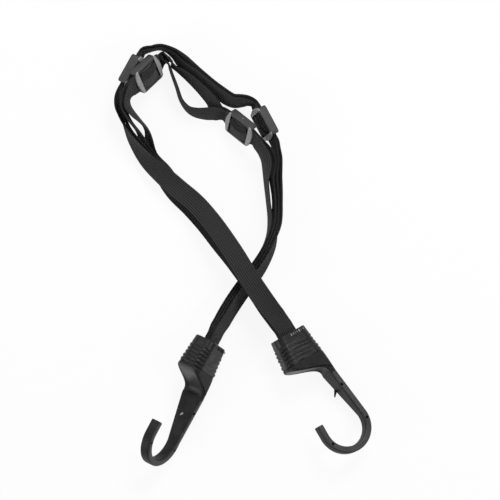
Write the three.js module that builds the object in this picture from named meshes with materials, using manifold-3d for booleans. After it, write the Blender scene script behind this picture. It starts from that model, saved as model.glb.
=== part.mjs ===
// Flat adjustable bungee cord, laid out on a table with its two arms crossed.
// Two bands of flat elastic webbing, of two runs each, are gathered by four tri-glide sliders
// and clamped at both ends in the ribbed sleeve of a moulded J-hook.
// Millimetres, +Z up, table at z = 0.

import * as THREE from 'three';
import { mergeVertices } from 'three/addons/utils/BufferGeometryUtils.js';
import Module from 'manifold-3d';

const wasm = await Module();
wasm.setup();

// Clearances, and the least flat between two rounded corners
const SEAT_GAP = 0.3;
const STRAP_CLEARANCE = 0.35;
const LEAST_FLAT = 0.1;

// Elastic webbing
const STRAP_WIDTH = 16;
const STRAP_THICKNESS = 1.2;
const STRAP_PITCH = STRAP_THICKNESS + STRAP_CLEARANCE;
const RUNS = 4;
const STACK_HEIGHT = (RUNS - 1) * STRAP_PITCH + STRAP_THICKNESS;
const RING_SPACING = 2.8;
const ARM_LENGTH = 130;

// Crimp clip that bites the strap ends
const CRIMP_SHEET = 0.8;
const CRIMP_LENGTH = 13;
const CRIMP_TEETH = 7;
const CRIMP_TOOTH_DEPTH = 1.2;
const CRIMP_SIDE_ROOM = 0.5;

// Ribbed sleeve, a soft boot with a slotted front wall
const SLEEVE_LENGTH = 24;
const SLEEVE_MOUTH_WIDTH = 29.5;
const SLEEVE_MOUTH_DEPTH = 19.5;
const SLEEVE_WALL = 2.2;
const SLEEVE_FRONT_WALL = 2.4;
const RIB_COUNT = 5;
const RIB_HEIGHT = 0.8;
const RIB_START = 7.5;
const RIB_RISE = 0.35;
const SLEEVE_CORNER = 7.5;
const SLEEVE_EDGE = 0.5;

// Hook body, shank and J
const BODY_WIDTH = 35;
const BODY_DEPTH = 21.6;
const BODY_CORNER = 8.5;
const BODY_LENGTH = 20;
const DISH_START = 0.12;
const EDGE_FADE = 0.6;
const SHANK_THICKNESS = 5.4;
const SHANK_ROOT_DEPTH = 19.5;
const SHANK_CORNER = 1.5;
const SHANK_FLARE = 10.5;
const BEND_RADIUS = 19.4;
const BEND_DISTANCE = 86.6;
const BEND_DEPTH = 10;
const TIP_DEPTH = 8.6;
const TIP_LENGTH = 9.8;
const PLUG_TOP = 4.2;
const PLUG_ROOT = 2;
const POCKET_END = 21;

// Tri-glide slider
const SLIDER_LENGTH = 28;
const SLIDER_WALL = 2.4;
const SLIDER_END_BAR = 4.8;
const SLIDER_CENTRE_BAR = 4.4;
const SLIDER_BAR_HEIGHT = 1.95;
const SLIDER_END_BULGE = 1.6;
const SLIDER_CORNER = 3.2;
const SLIDER_EDGE = 0.5;
const SLIDER_SIDE_ROOM = 0.5;
const SLIDER_TRAVEL = 2.5;
const SLIDER_LEAD = 0.8;
const PAIR_HEIGHT = STRAP_PITCH + STRAP_THICKNESS;

// The places and routes below are drawn for arms of this length, from the far loop to the hooks
const DRAWN_ARM_LENGTH = 130;
const LOOP_START = 62.8;

// Where the two hooks and four sliders lie: centre, heading and slope along the strap, and roll
// of the upward face, in millimetres and degrees. A hook's heading points into the hook.
const HOOK_LEFT = { at: [-26.4, -68.4, 16.2], heading: 242, slope: 6.2, roll: -60 };
const HOOK_RIGHT = { at: [34.4, -62, 14.7], heading: -60, slope: 1.6, roll: -24 };
const SLIDER_FRONT_RIGHT = { at: [-2.6, 103, 15.6], heading: 141, slope: -20, roll: -53 };
const SLIDER_REAR_RIGHT = { at: [16.4, 106.6, 12.3], heading: 118, slope: -4, roll: -68 };
const SLIDER_FRONT_LEFT = { at: [-77.6, 145.8, 17.6], heading: 225, slope: 26, roll: -43 };
const SLIDER_REAR_LEFT = { at: [-89.8, 148, 12.6], heading: 241, slope: 4, roll: -76 };

// Routes, from the left hook up the right arm, across the top and down the left arm to the right
// hook. A row is x, y, z and the roll of the strap's face, which turns it towards the right hand of
// someone walking the route. Where runs share a row, the list in it says how far each lies along the
// face's normal, and a last number how far the lowest run has slipped sideways.
const RIGHT_ARM = [
  [-20, -54.8, 13.6, 60, [-3.0, -1.0, 1.0, 3.0]],
  [-11.2, -39.6, 10.6, 60, [-3.4, -1.1, 1.1, 3.4]],
  [0.8, -22, 9.4, 58, [-3.2, -1.1, 1.1, 3.2]],
  [12, -6.8, 9.4, 68, [-3.4, -1.2, 1.1, 3.3]],
  [20, 9.2, 9.0, 79, [-3.2, -1.1, 1.1, 3.2]],
  [24, 27.6, 9.2, 100, [-4.0, -1.2, 1.4, 3.8]],
  [24.2, 45.2, 9.4, 99, [-5.6, -0.6, 1.9, 4.4]],
];
const FRONT_TO_RIGHT_SLIDER = [
  [19.6, 62.8, 10.6, 102, [-2.8, 1.8]],
  [18.5, 78.7, 16.4, 123, [-2.4, 2.1]],
];
const REAR_TO_RIGHT_SLIDER = [
  [26.9, 62.8, 9.4, 99, [-1.9, 1.4]],
  [26.7, 81.5, 13.4, 102, [-1.2, 1.0]],
];
const FRONT_FROM_RIGHT_SLIDER = [[-21.8, 115.4, 9.9, 132, [-1.9, 1.6]]];
const REAR_FROM_RIGHT_SLIDER = [
  [2.4, 124.4, 12, 111, [-1.4, 1.4]],
  [-8.4, 123.8, 10.8, 121, [-1.4, 1.4]],
  [-22.4, 132.2, 10.4, 123, [-1.3, 1.3]],
  [-37, 144.2, 10, 121, [-1.4, 1.4]],
];
const MIDDLE = [
  [
    [-30, 113.4, 10.4, 126],
    [-39, 114.4, 9.4, 116],
    [-45, 117.2, 9, 106],
    [-50.6, 124.6, 9, 97],
    [-54, 135, 10, 94],
    [-57.2, 144, 11.2, 93],
    [-59.1, 149.7, 13.7, 96],
  ],
  [
    [-26.8, 124.4, 11, 124],
    [-35.4, 134, 10.4, 118],
    [-45.6, 143.4, 10.4, 111],
    [-52.6, 148.8, 11.2, 105],
    [-56.3, 151.3, 12.8, 103],
  ],
  [
    [-50.4, 152.8, 9.8, 114],
    [-57.8, 161.2, 9.4, 102],
    [-66.2, 165.8, 9.2, 95],
  ],
  [
    [-48.4, 156.8, 9.8, 116],
    [-56.8, 164, 9.4, 103],
    [-66, 168, 9.2, 95],
  ],
];
const FRONT_TO_LEFT_SLIDER = [
  [-58.6, 155.4, 13.6, 86, [-2.4, 0.7]],
  [-61.2, 157.9, 12.8, 85, [-3.0, 1.2]],
  [-62.8, 160.1, 10.7, 123, [-1.4, 1.9]],
];
const REAR_TO_LEFT_SLIDER = [
  [-74.9, 165.7, 10.5, 97, [-1.2, 1.1]],
  [-79.6, 164.8, 11.4, 102, [-1.2, 1.2]],
];
const FRONT_FROM_LEFT_SLIDER = [
  [-91.6, 130.8, 25.6, 120, [-2.1, 1.7]],
  [-93.6, 123.9, 23.3, 110, [-1.5, 1.6]],
  [-92.3, 117.3, 19.1, 101, [-2.1, 2.2]],
  [-87, 108, 13.4, 90, [-3.7, 2.7]],
  [-80.4, 98.4, 9.4, 78, [-4.2, 2.4]],
];
const REAR_FROM_LEFT_SLIDER = [
  [-100.1, 126.5, 13.9, 101, [-1.3, 1.5]],
  [-98.4, 117, 10.4, 99, [-1.7, 1.1]],
  [-95, 107.4, 9.6, 90, [-1.3, 1.3]],
  [-89.6, 96.4, 10.4, 72, [-1.3, 1.3]],
];
const CROSSING_ARM = [
  [-76.4, 80, 9.4, 44, [-3.6, -1.2, 1.2, 3.4]],
  [-64, 66, 7.2, 18, [-3.3, -1.1, 1.1, 3.3], 1],
  [-52.8, 54.8, 6.4, 5, [-3.2, -1.1, 1.1, 3.2], 3.5],
  [-39.2, 42.8, 7.6, 0, [-3.2, -1.1, 1.1, 3.2], 4.5],
  [-26.4, 28.4, 11, 0, [-3.2, -1.1, 1.1, 3.2], 4.5],
  [-15.2, 13.2, 16, 0, [-3.2, -1.1, 1.1, 3.2], 4],
  [-5.6, -1.2, 21, 0, [-3.2, -1.1, 1.1, 3.2], 2.5],
  [3.2, -15.6, 23.2, 0, [-3.2, -1.1, 1.1, 3.2], 1],
  [11.2, -28.4, 22, -6, [-3.2, -1.1, 1.1, 3.2]],
  [20.8, -42.8, 18.6, -15, [-3.0, -1.0, 1.0, 3.0]],
];
const HOOK_LEAD = 6;

// Brings the middle of the whole layout's footprint to the origin, and its lowest point to the table
const LAY_OFFSET = new THREE.Vector3(0.83, -1.025, -0.11);

const UP = new THREE.Vector3(0, 0, 1);
const FINISH = {
  webbing: new THREE.MeshStandardMaterial({ color: 0x1d1d1f, roughness: 0.9, metalness: 0 }),
  hook: new THREE.MeshStandardMaterial({ color: 0x1b1b1c, roughness: 0.42, metalness: 0 }),
  sleeve: new THREE.MeshStandardMaterial({ color: 0x202021, roughness: 0.5, metalness: 0 }),
  slider: new THREE.MeshStandardMaterial({ color: 0x3d3e40, roughness: 0.5, metalness: 0 }),
  crimp: new THREE.MeshStandardMaterial({ color: 0x55565a, roughness: 0.4, metalness: 0.9 }),
};

/** Solid of a closed geometry, for joining and cutting. */
function solid(geometry) {
  const bare = geometry.clone();
  bare.deleteAttribute('normal');
  bare.deleteAttribute('uv');
  const merged = mergeVertices(bare, 1e-4);
  return new wasm.Manifold(new wasm.Mesh({
    numProp: 3,
    vertProperties: Float32Array.from(merged.attributes.position.array),
    triVerts: Uint32Array.from(merged.index.array),
  }));
}

/** Geometry of a solid. */
function geometryOf(body) {
  const mesh = body.getMesh();
  const geometry = new THREE.BufferGeometry();
  geometry.setAttribute('position', new THREE.BufferAttribute(mesh.vertProperties, 3));
  geometry.setIndex(new THREE.BufferAttribute(mesh.triVerts, 1));
  return geometry;
}

/**
 * Closed skin over a list of rings with the same number of points, with flat ends. The two halves
 * of a ring are split along opposite diagonals, so that the facing sides of twisted straps match.
 */
function loft(rings) {
  const count = rings[0].length;
  const positions = rings.flat().flatMap((point) => [point.x, point.y, point.z]);
  const index = [];
  for (let ring = 0; ring < rings.length - 1; ring += 1) {
    for (let point = 0; point < count; point += 1) {
      const next = (point + 1) % count;
      const a = ring * count + point;
      const b = ring * count + next;
      if (point < count / 2) {
        index.push(a, b, b + count, a, b + count, a + count);
      } else {
        index.push(a, b, a + count, b, b + count, a + count);
      }
    }
  }
  const last = (rings.length - 1) * count;
  for (let point = 1; point < count - 1; point += 1) {
    index.push(0, point + 1, point);
    index.push(last, last + point, last + point + 1);
  }
  const geometry = new THREE.BufferGeometry();
  geometry.setAttribute('position', new THREE.Float32BufferAttribute(positions, 3));
  geometry.setIndex(index);
  return geometry;
}

/** Points round a rectangle with rounded corners, in its own plane, turning with the clock hidden. */
function roundedSection(width, depth, corner) {
  const radius = Math.min(corner, (width - LEAST_FLAT) / 2, (depth - LEAST_FLAT) / 2);
  const cornerSteps = 3;
  const points = [];
  for (let quarter = 0; quarter < 4; quarter += 1) {
    const side = quarter === 0 || quarter === 3 ? 1 : -1;
    const top = quarter < 2 ? 1 : -1;
    for (let step = 0; step <= cornerSteps; step += 1) {
      const angle = (quarter + step / cornerSteps) * Math.PI / 2;
      points.push(new THREE.Vector2(
        side * (width / 2 - radius) + radius * Math.cos(angle),
        top * (depth / 2 - radius) + radius * Math.sin(angle),
      ));
    }
  }
  return points;
}

/** Ring of a section standing across the hook's plane at a point of its centre line. */
function hookRing({ along, across, turn = 0, width, depth, corner }) {
  return roundedSection(width, depth, corner).map((point) => new THREE.Vector3(
    along - Math.sin(turn) * point.x,
    across + Math.cos(turn) * point.x,
    point.y,
  ));
}

/** Box between two corners. */
function boxBetween(low, high) {
  const size = high.map((value, axis) => value - low[axis]);
  const centre = high.map((value, axis) => (value + low[axis]) / 2);
  return new THREE.BoxGeometry(...size).translate(...centre);
}

/** Place in the layout: arms of another length move the hooks, and the far loop keeps its form. */
function laid(x, y, z) {
  const share = THREE.MathUtils.clamp((LOOP_START - y) / DRAWN_ARM_LENGTH, 0, 1);
  const stretch = share * (ARM_LENGTH / DRAWN_ARM_LENGTH - 1);
  return new THREE.Vector3(x * (1 + stretch), y - (LOOP_START - y) * stretch, z);
}

/** Frame of a piece on the strap: x along the heading, z out of the upward face. */
function placed({ at, heading, slope, roll }) {
  const turn = THREE.MathUtils.degToRad(heading);
  const climb = THREE.MathUtils.degToRad(slope);
  const lean = THREE.MathUtils.degToRad(roll);
  const along = new THREE.Vector3(
    Math.cos(turn) * Math.cos(climb),
    Math.sin(turn) * Math.cos(climb),
    Math.sin(climb),
  );
  const right = new THREE.Vector3().crossVectors(along, UP).normalize();
  const upright = new THREE.Vector3().crossVectors(right, along);
  const normal = upright.multiplyScalar(Math.cos(lean)).addScaledVector(right, Math.sin(lean));
  const side = new THREE.Vector3().crossVectors(normal, along);
  return new THREE.Matrix4().makeBasis(along, side, normal).setPosition(laid(...at));
}

/** Named mesh of one piece. */
function piece(name, geometry, material, frame) {
  const mesh = new THREE.Mesh(geometry, material);
  mesh.name = name;
  if (frame) {
    mesh.applyMatrix4(frame);
  }
  mesh.position.add(LAY_OFFSET);
  return mesh;
}

// Room inside the sleeve, from the strap outwards
const crimpInside = {
  width: STRAP_WIDTH + 2 * CRIMP_SIDE_ROOM,
  depth: STACK_HEIGHT + 2 * STRAP_CLEARANCE,
};
const crimpOutside = {
  width: crimpInside.width + 2 * CRIMP_SHEET,
  depth: crimpInside.depth + 2 * CRIMP_SHEET,
};
const crimpStart = PLUG_TOP + SEAT_GAP;
const strapEnd = crimpStart + CRIMP_LENGTH - CRIMP_SHEET;
const shoulder = SLEEVE_LENGTH + SEAT_GAP;

/** Outer width and depth of the sleeve at a distance from its mouth. */
function sleeveSize(along) {
  const share = along / SLEEVE_LENGTH;
  return {
    width: THREE.MathUtils.lerp(SLEEVE_MOUTH_WIDTH, BODY_WIDTH, share),
    depth: THREE.MathUtils.lerp(SLEEVE_MOUTH_DEPTH, BODY_DEPTH, share),
  };
}

/** Ring of the sleeve's tapered form, drawn in by a wall and swollen by a rib. */
function sleeveRing(along, inset, swell = 0) {
  const { width, depth } = sleeveSize(along);
  const change = 2 * (swell - inset);
  return hookRing({
    along,
    across: 0,
    width: width + change,
    depth: depth + change,
    corner: SLEEVE_CORNER + change / 2,
  });
}

/** Ribbed boot with a strap slot in its front wall and an open back. */
function sleeveGeometry() {
  const ribPitch = (SLEEVE_LENGTH - RIB_START) / RIB_COUNT;
  const rings = [sleeveRing(0, SLEEVE_EDGE), sleeveRing(SLEEVE_EDGE, 0), sleeveRing(RIB_START, 0)];
  for (let rib = 0; rib < RIB_COUNT; rib += 1) {
    const start = RIB_START + rib * ribPitch;
    rings.push(sleeveRing(start + RIB_RISE * ribPitch, 0, RIB_HEIGHT));
    rings.push(sleeveRing(start + (1 - RIB_RISE) * ribPitch, 0, RIB_HEIGHT));
    rings.push(sleeveRing(start + ribPitch, 0));
  }
  const cavity = loft([
    sleeveRing(SLEEVE_FRONT_WALL, SLEEVE_WALL),
    sleeveRing(SLEEVE_LENGTH + SEAT_GAP, SLEEVE_WALL),
  ]);
  const slotHalfWidth = crimpInside.width / 2;
  const slotHalfDepth = crimpInside.depth / 2;
  const slot = boxBetween(
    [-SEAT_GAP, -slotHalfWidth, -slotHalfDepth],
    [SLEEVE_FRONT_WALL + SEAT_GAP, slotHalfWidth, slotHalfDepth],
  );
  return geometryOf(solid(loft(rings)).subtract(solid(cavity)).subtract(solid(slot)));
}

/** Rings of the dished body, from the shoulder under the sleeve to the root of the shank. */
function bodyRings() {
  const steps = 7;
  const outer = BODY_WIDTH / 2;
  const rings = [];
  for (let step = 0; step < steps; step += 1) {
    const share = step / steps;
    const fall = THREE.MathUtils.smoothstep(share, DISH_START, 1);
    const inner = THREE.MathUtils.lerp(-outer, outer - SHANK_THICKNESS, 1 - (1 - fall) ** 2);
    rings.push(hookRing({
      along: shoulder + share * BODY_LENGTH,
      across: (outer + inner) / 2,
      width: outer - inner,
      depth: THREE.MathUtils.lerp(BODY_DEPTH, SHANK_ROOT_DEPTH, share),
      corner: THREE.MathUtils.lerp(BODY_CORNER, SHANK_CORNER, share ** EDGE_FADE),
    }));
  }
  return rings;
}

/** Rings of the flat bar that makes the straight shank, the J and its square tip. */
function barRings() {
  const flare = THREE.MathUtils.degToRad(SHANK_FLARE);
  const root = { along: shoulder + BODY_LENGTH, across: (BODY_WIDTH - SHANK_THICKNESS) / 2 };
  const bendStart = BEND_DISTANCE - BEND_RADIUS * Math.sin(flare);
  const shankLength = bendStart - root.along;
  const bendCentre = root.across + shankLength * Math.tan(flare) - BEND_RADIUS * Math.cos(flare);
  const bar = (along, across, turn, depth) => hookRing({
    along, across, turn, width: SHANK_THICKNESS, depth, corner: SHANK_CORNER,
  });
  const rings = [];
  const shankSteps = 5;
  for (let step = 0; step < shankSteps; step += 1) {
    const share = step / shankSteps;
    rings.push(bar(
      root.along + share * shankLength,
      root.across + share * shankLength * Math.tan(flare),
      flare,
      THREE.MathUtils.lerp(SHANK_ROOT_DEPTH, BEND_DEPTH, share),
    ));
  }
  const bendSteps = 14;
  for (let step = 0; step <= bendSteps; step += 1) {
    const share = step / bendSteps;
    const angle = THREE.MathUtils.lerp(-flare, Math.PI, share);
    rings.push(bar(
      BEND_DISTANCE + BEND_RADIUS * Math.sin(angle),
      bendCentre + BEND_RADIUS * Math.cos(angle),
      -angle,
      THREE.MathUtils.lerp(BEND_DEPTH, TIP_DEPTH, share),
    ));
  }
  rings.push(bar(BEND_DISTANCE - TIP_LENGTH, bendCentre - BEND_RADIUS, -Math.PI, TIP_DEPTH));
  return rings;
}

/** J-hook moulding: plug with a pocket for the crimp, dished body, tapering shank and J. */
function hookGeometry() {
  const inset = SLEEVE_WALL + SEAT_GAP;
  const plug = loft([sleeveRing(PLUG_TOP, inset), sleeveRing(shoulder + PLUG_ROOT, inset)]);
  const halfWidth = crimpOutside.width / 2 + SEAT_GAP;
  const halfDepth = crimpOutside.depth / 2 + SEAT_GAP;
  const pocket = boxBetween([0, -halfWidth, -halfDepth], [POCKET_END, halfWidth, halfDepth]);
  return geometryOf(
    solid(loft([...bodyRings(), ...barRings()])).add(solid(plug)).subtract(solid(pocket)),
  );
}

/** Folded clip with a toothed front edge: two plates joined along one side. */
function crimpGeometry() {
  const halfWidth = crimpOutside.width / 2;
  const plate = new THREE.Shape();
  plate.moveTo(crimpStart + CRIMP_LENGTH, -halfWidth);
  plate.lineTo(crimpStart + CRIMP_LENGTH, halfWidth);
  const toothPitch = crimpOutside.width / CRIMP_TEETH;
  for (let tooth = 0; tooth < CRIMP_TEETH; tooth += 1) {
    plate.lineTo(crimpStart + CRIMP_TOOTH_DEPTH, halfWidth - tooth * toothPitch);
    plate.lineTo(crimpStart, halfWidth - (tooth + 0.5) * toothPitch);
  }
  plate.lineTo(crimpStart + CRIMP_TOOTH_DEPTH, -halfWidth);
  const sheet = new THREE.ExtrudeGeometry(plate, { depth: CRIMP_SHEET, bevelEnabled: false });
  const upper = sheet.clone().translate(0, 0, crimpInside.depth / 2);
  const lower = sheet.clone().translate(0, 0, -crimpOutside.depth / 2);
  const fold = boxBetween(
    [crimpStart + CRIMP_TOOTH_DEPTH, crimpInside.width / 2, -crimpOutside.depth / 2],
    [crimpStart + CRIMP_LENGTH, halfWidth, crimpOutside.depth / 2],
  );
  return geometryOf(solid(upper).add(solid(lower)).add(solid(fold)));
}

/** Tri-glide frame: two side walls, two bowed end bars above the strap and a centre bar below it. */
function sliderGeometry() {
  const passageHalf = PAIR_HEIGHT / 2 + STRAP_CLEARANCE;
  const insideHalf = STRAP_WIDTH / 2 + SLIDER_SIDE_ROOM;
  const outsideHalf = insideHalf + SLIDER_WALL;
  const height = 2 * (passageHalf + SLIDER_BAR_HEIGHT);
  const endHalf = SLIDER_LENGTH / 2 - SLIDER_END_BULGE;
  const bow = SLIDER_LENGTH / 2 + SLIDER_END_BULGE;
  const outline = new THREE.Shape();
  outline.moveTo(SLIDER_CORNER - endHalf, -outsideHalf);
  outline.lineTo(endHalf - SLIDER_CORNER, -outsideHalf);
  outline.quadraticCurveTo(endHalf, -outsideHalf, endHalf, SLIDER_CORNER - outsideHalf);
  outline.quadraticCurveTo(bow, 0, endHalf, outsideHalf - SLIDER_CORNER);
  outline.quadraticCurveTo(endHalf, outsideHalf, endHalf - SLIDER_CORNER, outsideHalf);
  outline.lineTo(SLIDER_CORNER - endHalf, outsideHalf);
  outline.quadraticCurveTo(-endHalf, outsideHalf, -endHalf, outsideHalf - SLIDER_CORNER);
  outline.quadraticCurveTo(-bow, 0, -endHalf, SLIDER_CORNER - outsideHalf);
  outline.quadraticCurveTo(-endHalf, -outsideHalf, SLIDER_CORNER - endHalf, -outsideHalf);
  const block = new THREE.ExtrudeGeometry(outline, {
    depth: height - 2 * SLIDER_EDGE,
    bevelEnabled: true,
    bevelThickness: SLIDER_EDGE,
    bevelSize: SLIDER_EDGE,
    bevelOffset: -SLIDER_EDGE,
    bevelSegments: 1,
    curveSegments: 4,
  }).translate(0, 0, SLIDER_EDGE - height / 2);
  const reach = SLIDER_LENGTH;
  const windowHalf = SLIDER_LENGTH / 2 - SLIDER_END_BAR;
  const passage = boxBetween([-reach, -insideHalf, -passageHalf], [reach, insideHalf, passageHalf]);
  const window = boxBetween([-windowHalf, -insideHalf, 0], [windowHalf, insideHalf, height]);
  const underFar = boxBetween([SLIDER_CENTRE_BAR / 2, -insideHalf, -height], [reach, insideHalf, 0]);
  const underNear = boxBetween([-reach, -insideHalf, -height], [-SLIDER_CENTRE_BAR / 2, insideHalf, 0]);
  return geometryOf([passage, window, underFar, underNear].reduce(
    (frame, cut) => frame.subtract(solid(cut)),
    solid(block),
  ));
}

/** Route stop held by a hook or slider, at a distance along it and from its middle plane. */
function heldStop(frame, along, offset, facing) {
  const normal = new THREE.Vector3().setFromMatrixColumn(frame, 2).multiplyScalar(facing);
  const at = new THREE.Vector3(along, 0, 0).applyMatrix4(frame).addScaledVector(normal, offset);
  return { at, normal };
}

/** Route stop that lies free, with its face rolled about the route. */
function freeStop([x, y, z, roll, offsets = [0], slip = 0], place) {
  const share = offsets.length > 1 ? (offsets.length - 1 - place) / (offsets.length - 1) : 0;
  return { at: laid(x, y, z), roll, offset: offsets[place], slip: slip * share };
}

/** Straight stops through a slider, for one run of the pair it gathers. */
function throughSlider(frame, place) {
  const reach = SLIDER_LENGTH / 2 + SLIDER_TRAVEL;
  const lead = reach + SLIDER_LEAD;
  const offset = (place - 0.5) * STRAP_PITCH;
  return [-lead, -reach, 0, reach, lead].map((along) => heldStop(frame, along, offset, -1));
}

/** Stops inside a hook's crimp and through its sleeve, for one run of the stack. */
function intoHook(frame, run) {
  const offset = (run - (RUNS - 1) / 2) * STRAP_PITCH;
  const stations = [-HOOK_LEAD, -HOOK_LEAD / 3, crimpStart, strapEnd];
  return stations.map((along) => heldStop(frame, along, offset, 1));
}

/** Whole route of one run, with each stop's place and the direction its face looks. */
function route(run, frames) {
  const rear = run >= RUNS / 2;
  const place = run % (RUNS / 2);
  const free = (rows, index) => rows.map((row) => freeStop(row, index));
  const stops = [
    ...intoHook(frames.hookLeft, run).reverse(),
    ...free(RIGHT_ARM, run),
    ...free(rear ? REAR_TO_RIGHT_SLIDER : FRONT_TO_RIGHT_SLIDER, place),
    ...throughSlider(rear ? frames.rearRight : frames.frontRight, place),
    ...free(rear ? REAR_FROM_RIGHT_SLIDER : FRONT_FROM_RIGHT_SLIDER, place),
    ...free(MIDDLE[run], 0),
    ...free(rear ? REAR_TO_LEFT_SLIDER : FRONT_TO_LEFT_SLIDER, place),
    ...throughSlider(rear ? frames.rearLeft : frames.frontLeft, place),
    ...free(rear ? REAR_FROM_LEFT_SLIDER : FRONT_FROM_LEFT_SLIDER, place),
    ...free(CROSSING_ARM, run),
    ...intoHook(frames.hookRight, run),
  ];
  return stops.map((stop, index) => {
    if (stop.normal) {
      return stop;
    }
    const travel = stops[index + 1].at.clone().sub(stops[index - 1].at);
    const right = travel.cross(UP).normalize();
    const roll = THREE.MathUtils.degToRad(stop.roll);
    const normal = UP.clone().multiplyScalar(Math.cos(roll)).addScaledVector(right, Math.sin(roll));
    const side = right.multiplyScalar(Math.cos(roll)).addScaledVector(UP, -Math.sin(roll));
    const at = stop.at.clone().addScaledVector(normal, stop.offset).addScaledVector(side, stop.slip);
    return { at, normal };
  });
}

/** Flat strap swept along a route, turning with its stops. */
function strapGeometry(stops) {
  const centre = new THREE.CatmullRomCurve3(stops.map((stop) => stop.at));
  const facing = new THREE.CatmullRomCurve3(stops.map((stop) => stop.normal));
  const shares = [0];
  for (let leg = 1; leg < stops.length; leg += 1) {
    const length = stops[leg].at.distanceTo(stops[leg - 1].at);
    const steps = Math.max(1, Math.round(length / RING_SPACING));
    for (let step = 1; step <= steps; step += 1) {
      shares.push((leg - 1 + step / steps) / (stops.length - 1));
    }
  }
  return loft(shares.map((share) => {
    const at = centre.getPoint(share);
    const tangent = centre.getTangent(share);
    const normal = facing.getPoint(share).projectOnPlane(tangent).normalize();
    const side = new THREE.Vector3().crossVectors(normal, tangent);
    return [[1, 1], [-1, 1], [-1, -1], [1, -1]].map(([across, out]) => at.clone()
      .addScaledVector(side, across * STRAP_WIDTH / 2)
      .addScaledVector(normal, out * STRAP_THICKNESS / 2));
  }));
}

const frames = {
  hookLeft: placed(HOOK_LEFT),
  hookRight: placed(HOOK_RIGHT),
  frontRight: placed(SLIDER_FRONT_RIGHT),
  rearRight: placed(SLIDER_REAR_RIGHT),
  frontLeft: placed(SLIDER_FRONT_LEFT),
  rearLeft: placed(SLIDER_REAR_LEFT),
};

const bungee = new THREE.Group();
for (const [side, frame] of [['left', frames.hookLeft], ['right', frames.hookRight]]) {
  bungee.add(piece(`hook_${side}`, hookGeometry(), FINISH.hook, frame));
  bungee.add(piece(`sleeve_${side}`, sleeveGeometry(), FINISH.sleeve, frame));
  bungee.add(piece(`crimp_${side}`, crimpGeometry(), FINISH.crimp, frame));
}
const sliderPlaces = {
  slider_front_right: frames.frontRight,
  slider_rear_right: frames.rearRight,
  slider_front_left: frames.frontLeft,
  slider_rear_left: frames.rearLeft,
};
for (const [name, frame] of Object.entries(sliderPlaces)) {
  bungee.add(piece(name, sliderGeometry(), FINISH.slider, frame));
}
const runNames = ['band_front_inner', 'band_front_outer', 'band_rear_inner', 'band_rear_outer'];
runNames.forEach((name, run) => {
  bungee.add(piece(name, strapGeometry(route(run, frames)), FINISH.webbing));
});

export default bungee;
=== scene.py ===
"""Looks of a flat elastic bungee cord: ribbed webbing, J-hooks in ribbed sleeves, and strap sliders."""

import logging
import math
from contextlib import contextmanager
from dataclasses import dataclass
from enum import Enum
from typing import Callable, Iterator, Sequence

import bmesh
import bpy
import numpy as np
from bpy.types import Material, Mesh, Object
from mathutils import Matrix, Vector, noise


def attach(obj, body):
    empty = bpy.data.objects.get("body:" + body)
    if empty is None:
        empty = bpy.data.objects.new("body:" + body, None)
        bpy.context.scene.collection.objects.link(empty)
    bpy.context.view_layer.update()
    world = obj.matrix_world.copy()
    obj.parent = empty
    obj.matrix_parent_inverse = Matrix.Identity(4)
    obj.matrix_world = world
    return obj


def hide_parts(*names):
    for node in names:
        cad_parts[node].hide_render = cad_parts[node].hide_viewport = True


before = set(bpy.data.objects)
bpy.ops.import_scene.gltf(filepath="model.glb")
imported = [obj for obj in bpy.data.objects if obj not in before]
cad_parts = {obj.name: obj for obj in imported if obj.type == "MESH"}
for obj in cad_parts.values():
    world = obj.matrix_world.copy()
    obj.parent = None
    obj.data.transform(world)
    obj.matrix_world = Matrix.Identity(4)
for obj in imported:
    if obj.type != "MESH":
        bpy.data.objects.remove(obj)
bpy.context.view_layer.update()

Pair = tuple[float, float]
Triple = tuple[float, float, float]

LOG = logging.getLogger("bungee_cord")
MM = 0.001
LAY_OFFSET = Vector((0.83, -1.025, -0.11))
UP = Vector((0.0, 0.0, 1.0))
CORD_BODY = "cord"
# Heights of the four runs where they lie evenly on each other, in millimetres
EVEN_STACK = (-3.2, -1.1, 1.1, 3.2)
# What a section keeps between its corners and its middle, in millimetres
LEAST_FLAT = 0.02
# Below this, two stops of a curve count as one
LEAST_GAP = 1e-4


class Side(Enum):
    """End of the cord, as it lies in the photograph."""

    LEFT = "left"
    RIGHT = "right"


class Run(Enum):
    """One run of webbing from hook to hook; the value is its place in the stack."""

    FRONT_INNER = 0
    FRONT_OUTER = 1
    REAR_INNER = 2
    REAR_OUTER = 3

    @property
    def node(self) -> str:
        """Name of the CAD node of this run."""
        return f"band_{self.name.lower()}"


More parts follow.
